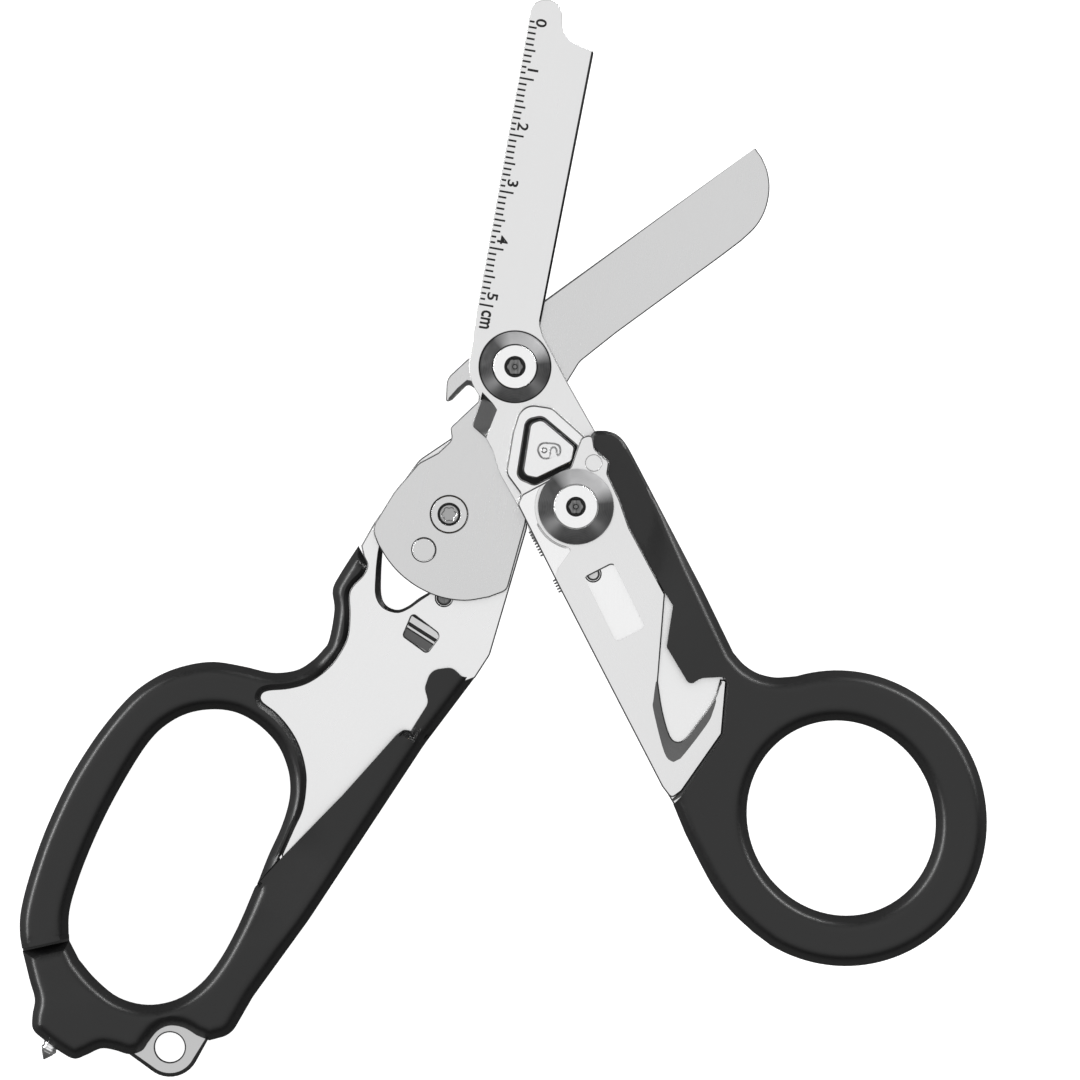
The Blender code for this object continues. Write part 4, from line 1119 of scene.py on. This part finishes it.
def glass_breaker():
    foot = (*STUD_FOOT, STUD_LEVEL)
    stud = spun("glass_breaker_body", foot, STUD_DIRECTION, [
        (0.0, 0.9), (1.0, 0.9), (1.12, 0.82), (1.4, 0.5), (1.4, 0.2), (1.25, 0.1), (1.25, -0.3), (1.4, -0.4),
        (1.4, -5.9), (0.0, -5.9)])
    place(stud, "oval_handle", BRIGHT, "bright_steel", "glass_breaker_stud")
    tip = spun("glass_breaker_point", foot, STUD_DIRECTION, [
        (0.0, 2.4), (0.15, 2.3), (1.1, 1.0), (1.1, 0.85), (0.0, 0.85)], 6)
    place(tip, "oval_handle", CARBIDE, "carbide", "glass_breaker_tip")


ruler_blade()
plain_blade()
ruler_marks()
pivots()
buttons()
round_handle()
strap_cutter()
oval_handle()
glass_breaker()

# the small inner parts keep their CAD shapes
for node, stuff in {"round_lock_spring": SPRING, "oval_lock_spring": SPRING, "round_pivot_washer": BRONZE,
                    "oval_pivot_washer": BRONZE, "round_pivot_nut": BRIGHT, "pocket_clip": CLIP}.items():
    slots = NODES[node].data.materials
    slots.clear()
    slots.append(stuff)


# -------- floor, light and camera

def camera_only(tree, seen, otherwise, kind="FLOAT", sockets=(2, 3, 0)):
    """One value for what the camera sees directly and another for light and reflections."""
    is_seen = add(tree, "LightPath", {}).outputs["Is Camera Ray"]
    other, direct, result = sockets
    mix = add(tree, "Mix", {})
    mix.data_type = kind
    feed(mix, {0: is_seen, other: otherwise, direct: seen})
    return mix.outputs[result]


def floor():
    """A white table top; its glow reaches only the camera, so the steel's edges still find some dark."""
    half = 3.0
    z = -0.0004
    corners = [(-half, -half, z), (half, -half, z), (half, half, z), (-half, half, z)]
    mesh = meshed("floor", corners, [(0, 1, 2, 3)])
    stuff, shader = new_material("floor_white", 0.0, 0.9, 0.0)
    tree = shader.id_data
    tinted(shader, camera_only(tree, 0.85, 0.22))
    feed(shader, {"Emission Color": (1, 1, 1, 1), "Emission Strength": camera_only(tree, 0.85, 0.0)})
    mesh.materials.append(stuff)
    linked("floor", mesh)


def softbox(name, at, size, power):
    """A long soft light that looks at the middle of the floor."""
    light = bpy.data.lights.new(name, "AREA")
    light.shape = "RECTANGLE"
    light.size, light.size_y = size
    light.energy = power
    obj = linked(name, light)
    obj.location = at
    obj.rotation_euler = (-Vector(at)).to_track_quat("-Z", "Y").to_euler()


def sky():
    """A tent of light: bright overhead, dimmer towards the sides, which draws the steel's edges."""
    world = bpy.data.worlds.new("tent")
    bpy.context.scene.world = world
    world.use_nodes = True
    tree = world.node_tree
    direction = add(tree, "TexCoord", {}).outputs["Generated"]
    height = add(tree, "SeparateXYZ", {0: direction}).outputs["Z"]
    ramp = add(tree, "ValToRGB", {0: height})
    stops = ((0.0, 0.06), (0.35, 0.12), (0.66, 0.50), (0.86, 0.90))
    while len(ramp.color_ramp.elements) < len(stops):
        ramp.color_ramp.elements.new(0.5)
    for element, (at, tone) in zip(ramp.color_ramp.elements, stops):
        element.position = at
        element.color = (tone, tone, tone, 1)
    colour = camera_only(tree, (0.9, 0.9, 0.9, 1), ramp.outputs[0], "RGBA", (6, 7, 2))
    feed(tree.nodes["Background"], {"Color": colour, "Strength": 1.0})


def camera():
    centre = Vector((PIVOT.x + 4.36 * MM, PIVOT.y - 30.19 * MM, 0.0))
    view_width = 188.4 * MM
    height = 2.4
    face_height = 9.0 * MM
    lens = bpy.data.cameras.new("camera")
    lens.sensor_width = 36.0
    lens.lens = lens.sensor_width * (height - face_height) / view_width
    lens.clip_start, lens.clip_end = 0.1, 10.0
    obj = linked("camera", lens)
    obj.location = centre + Vector((0, 0, height))
    bpy.context.scene.camera = obj


floor()
sky()
softbox("key", (-0.93, 0.32, 0.15), (1.1, 0.14), 13.0)
softbox("fill", (0.70, 0.68, 0.14), (1.0, 0.14), 9.0)
camera()
bpy.context.scene.view_settings.view_transform = "Standard"
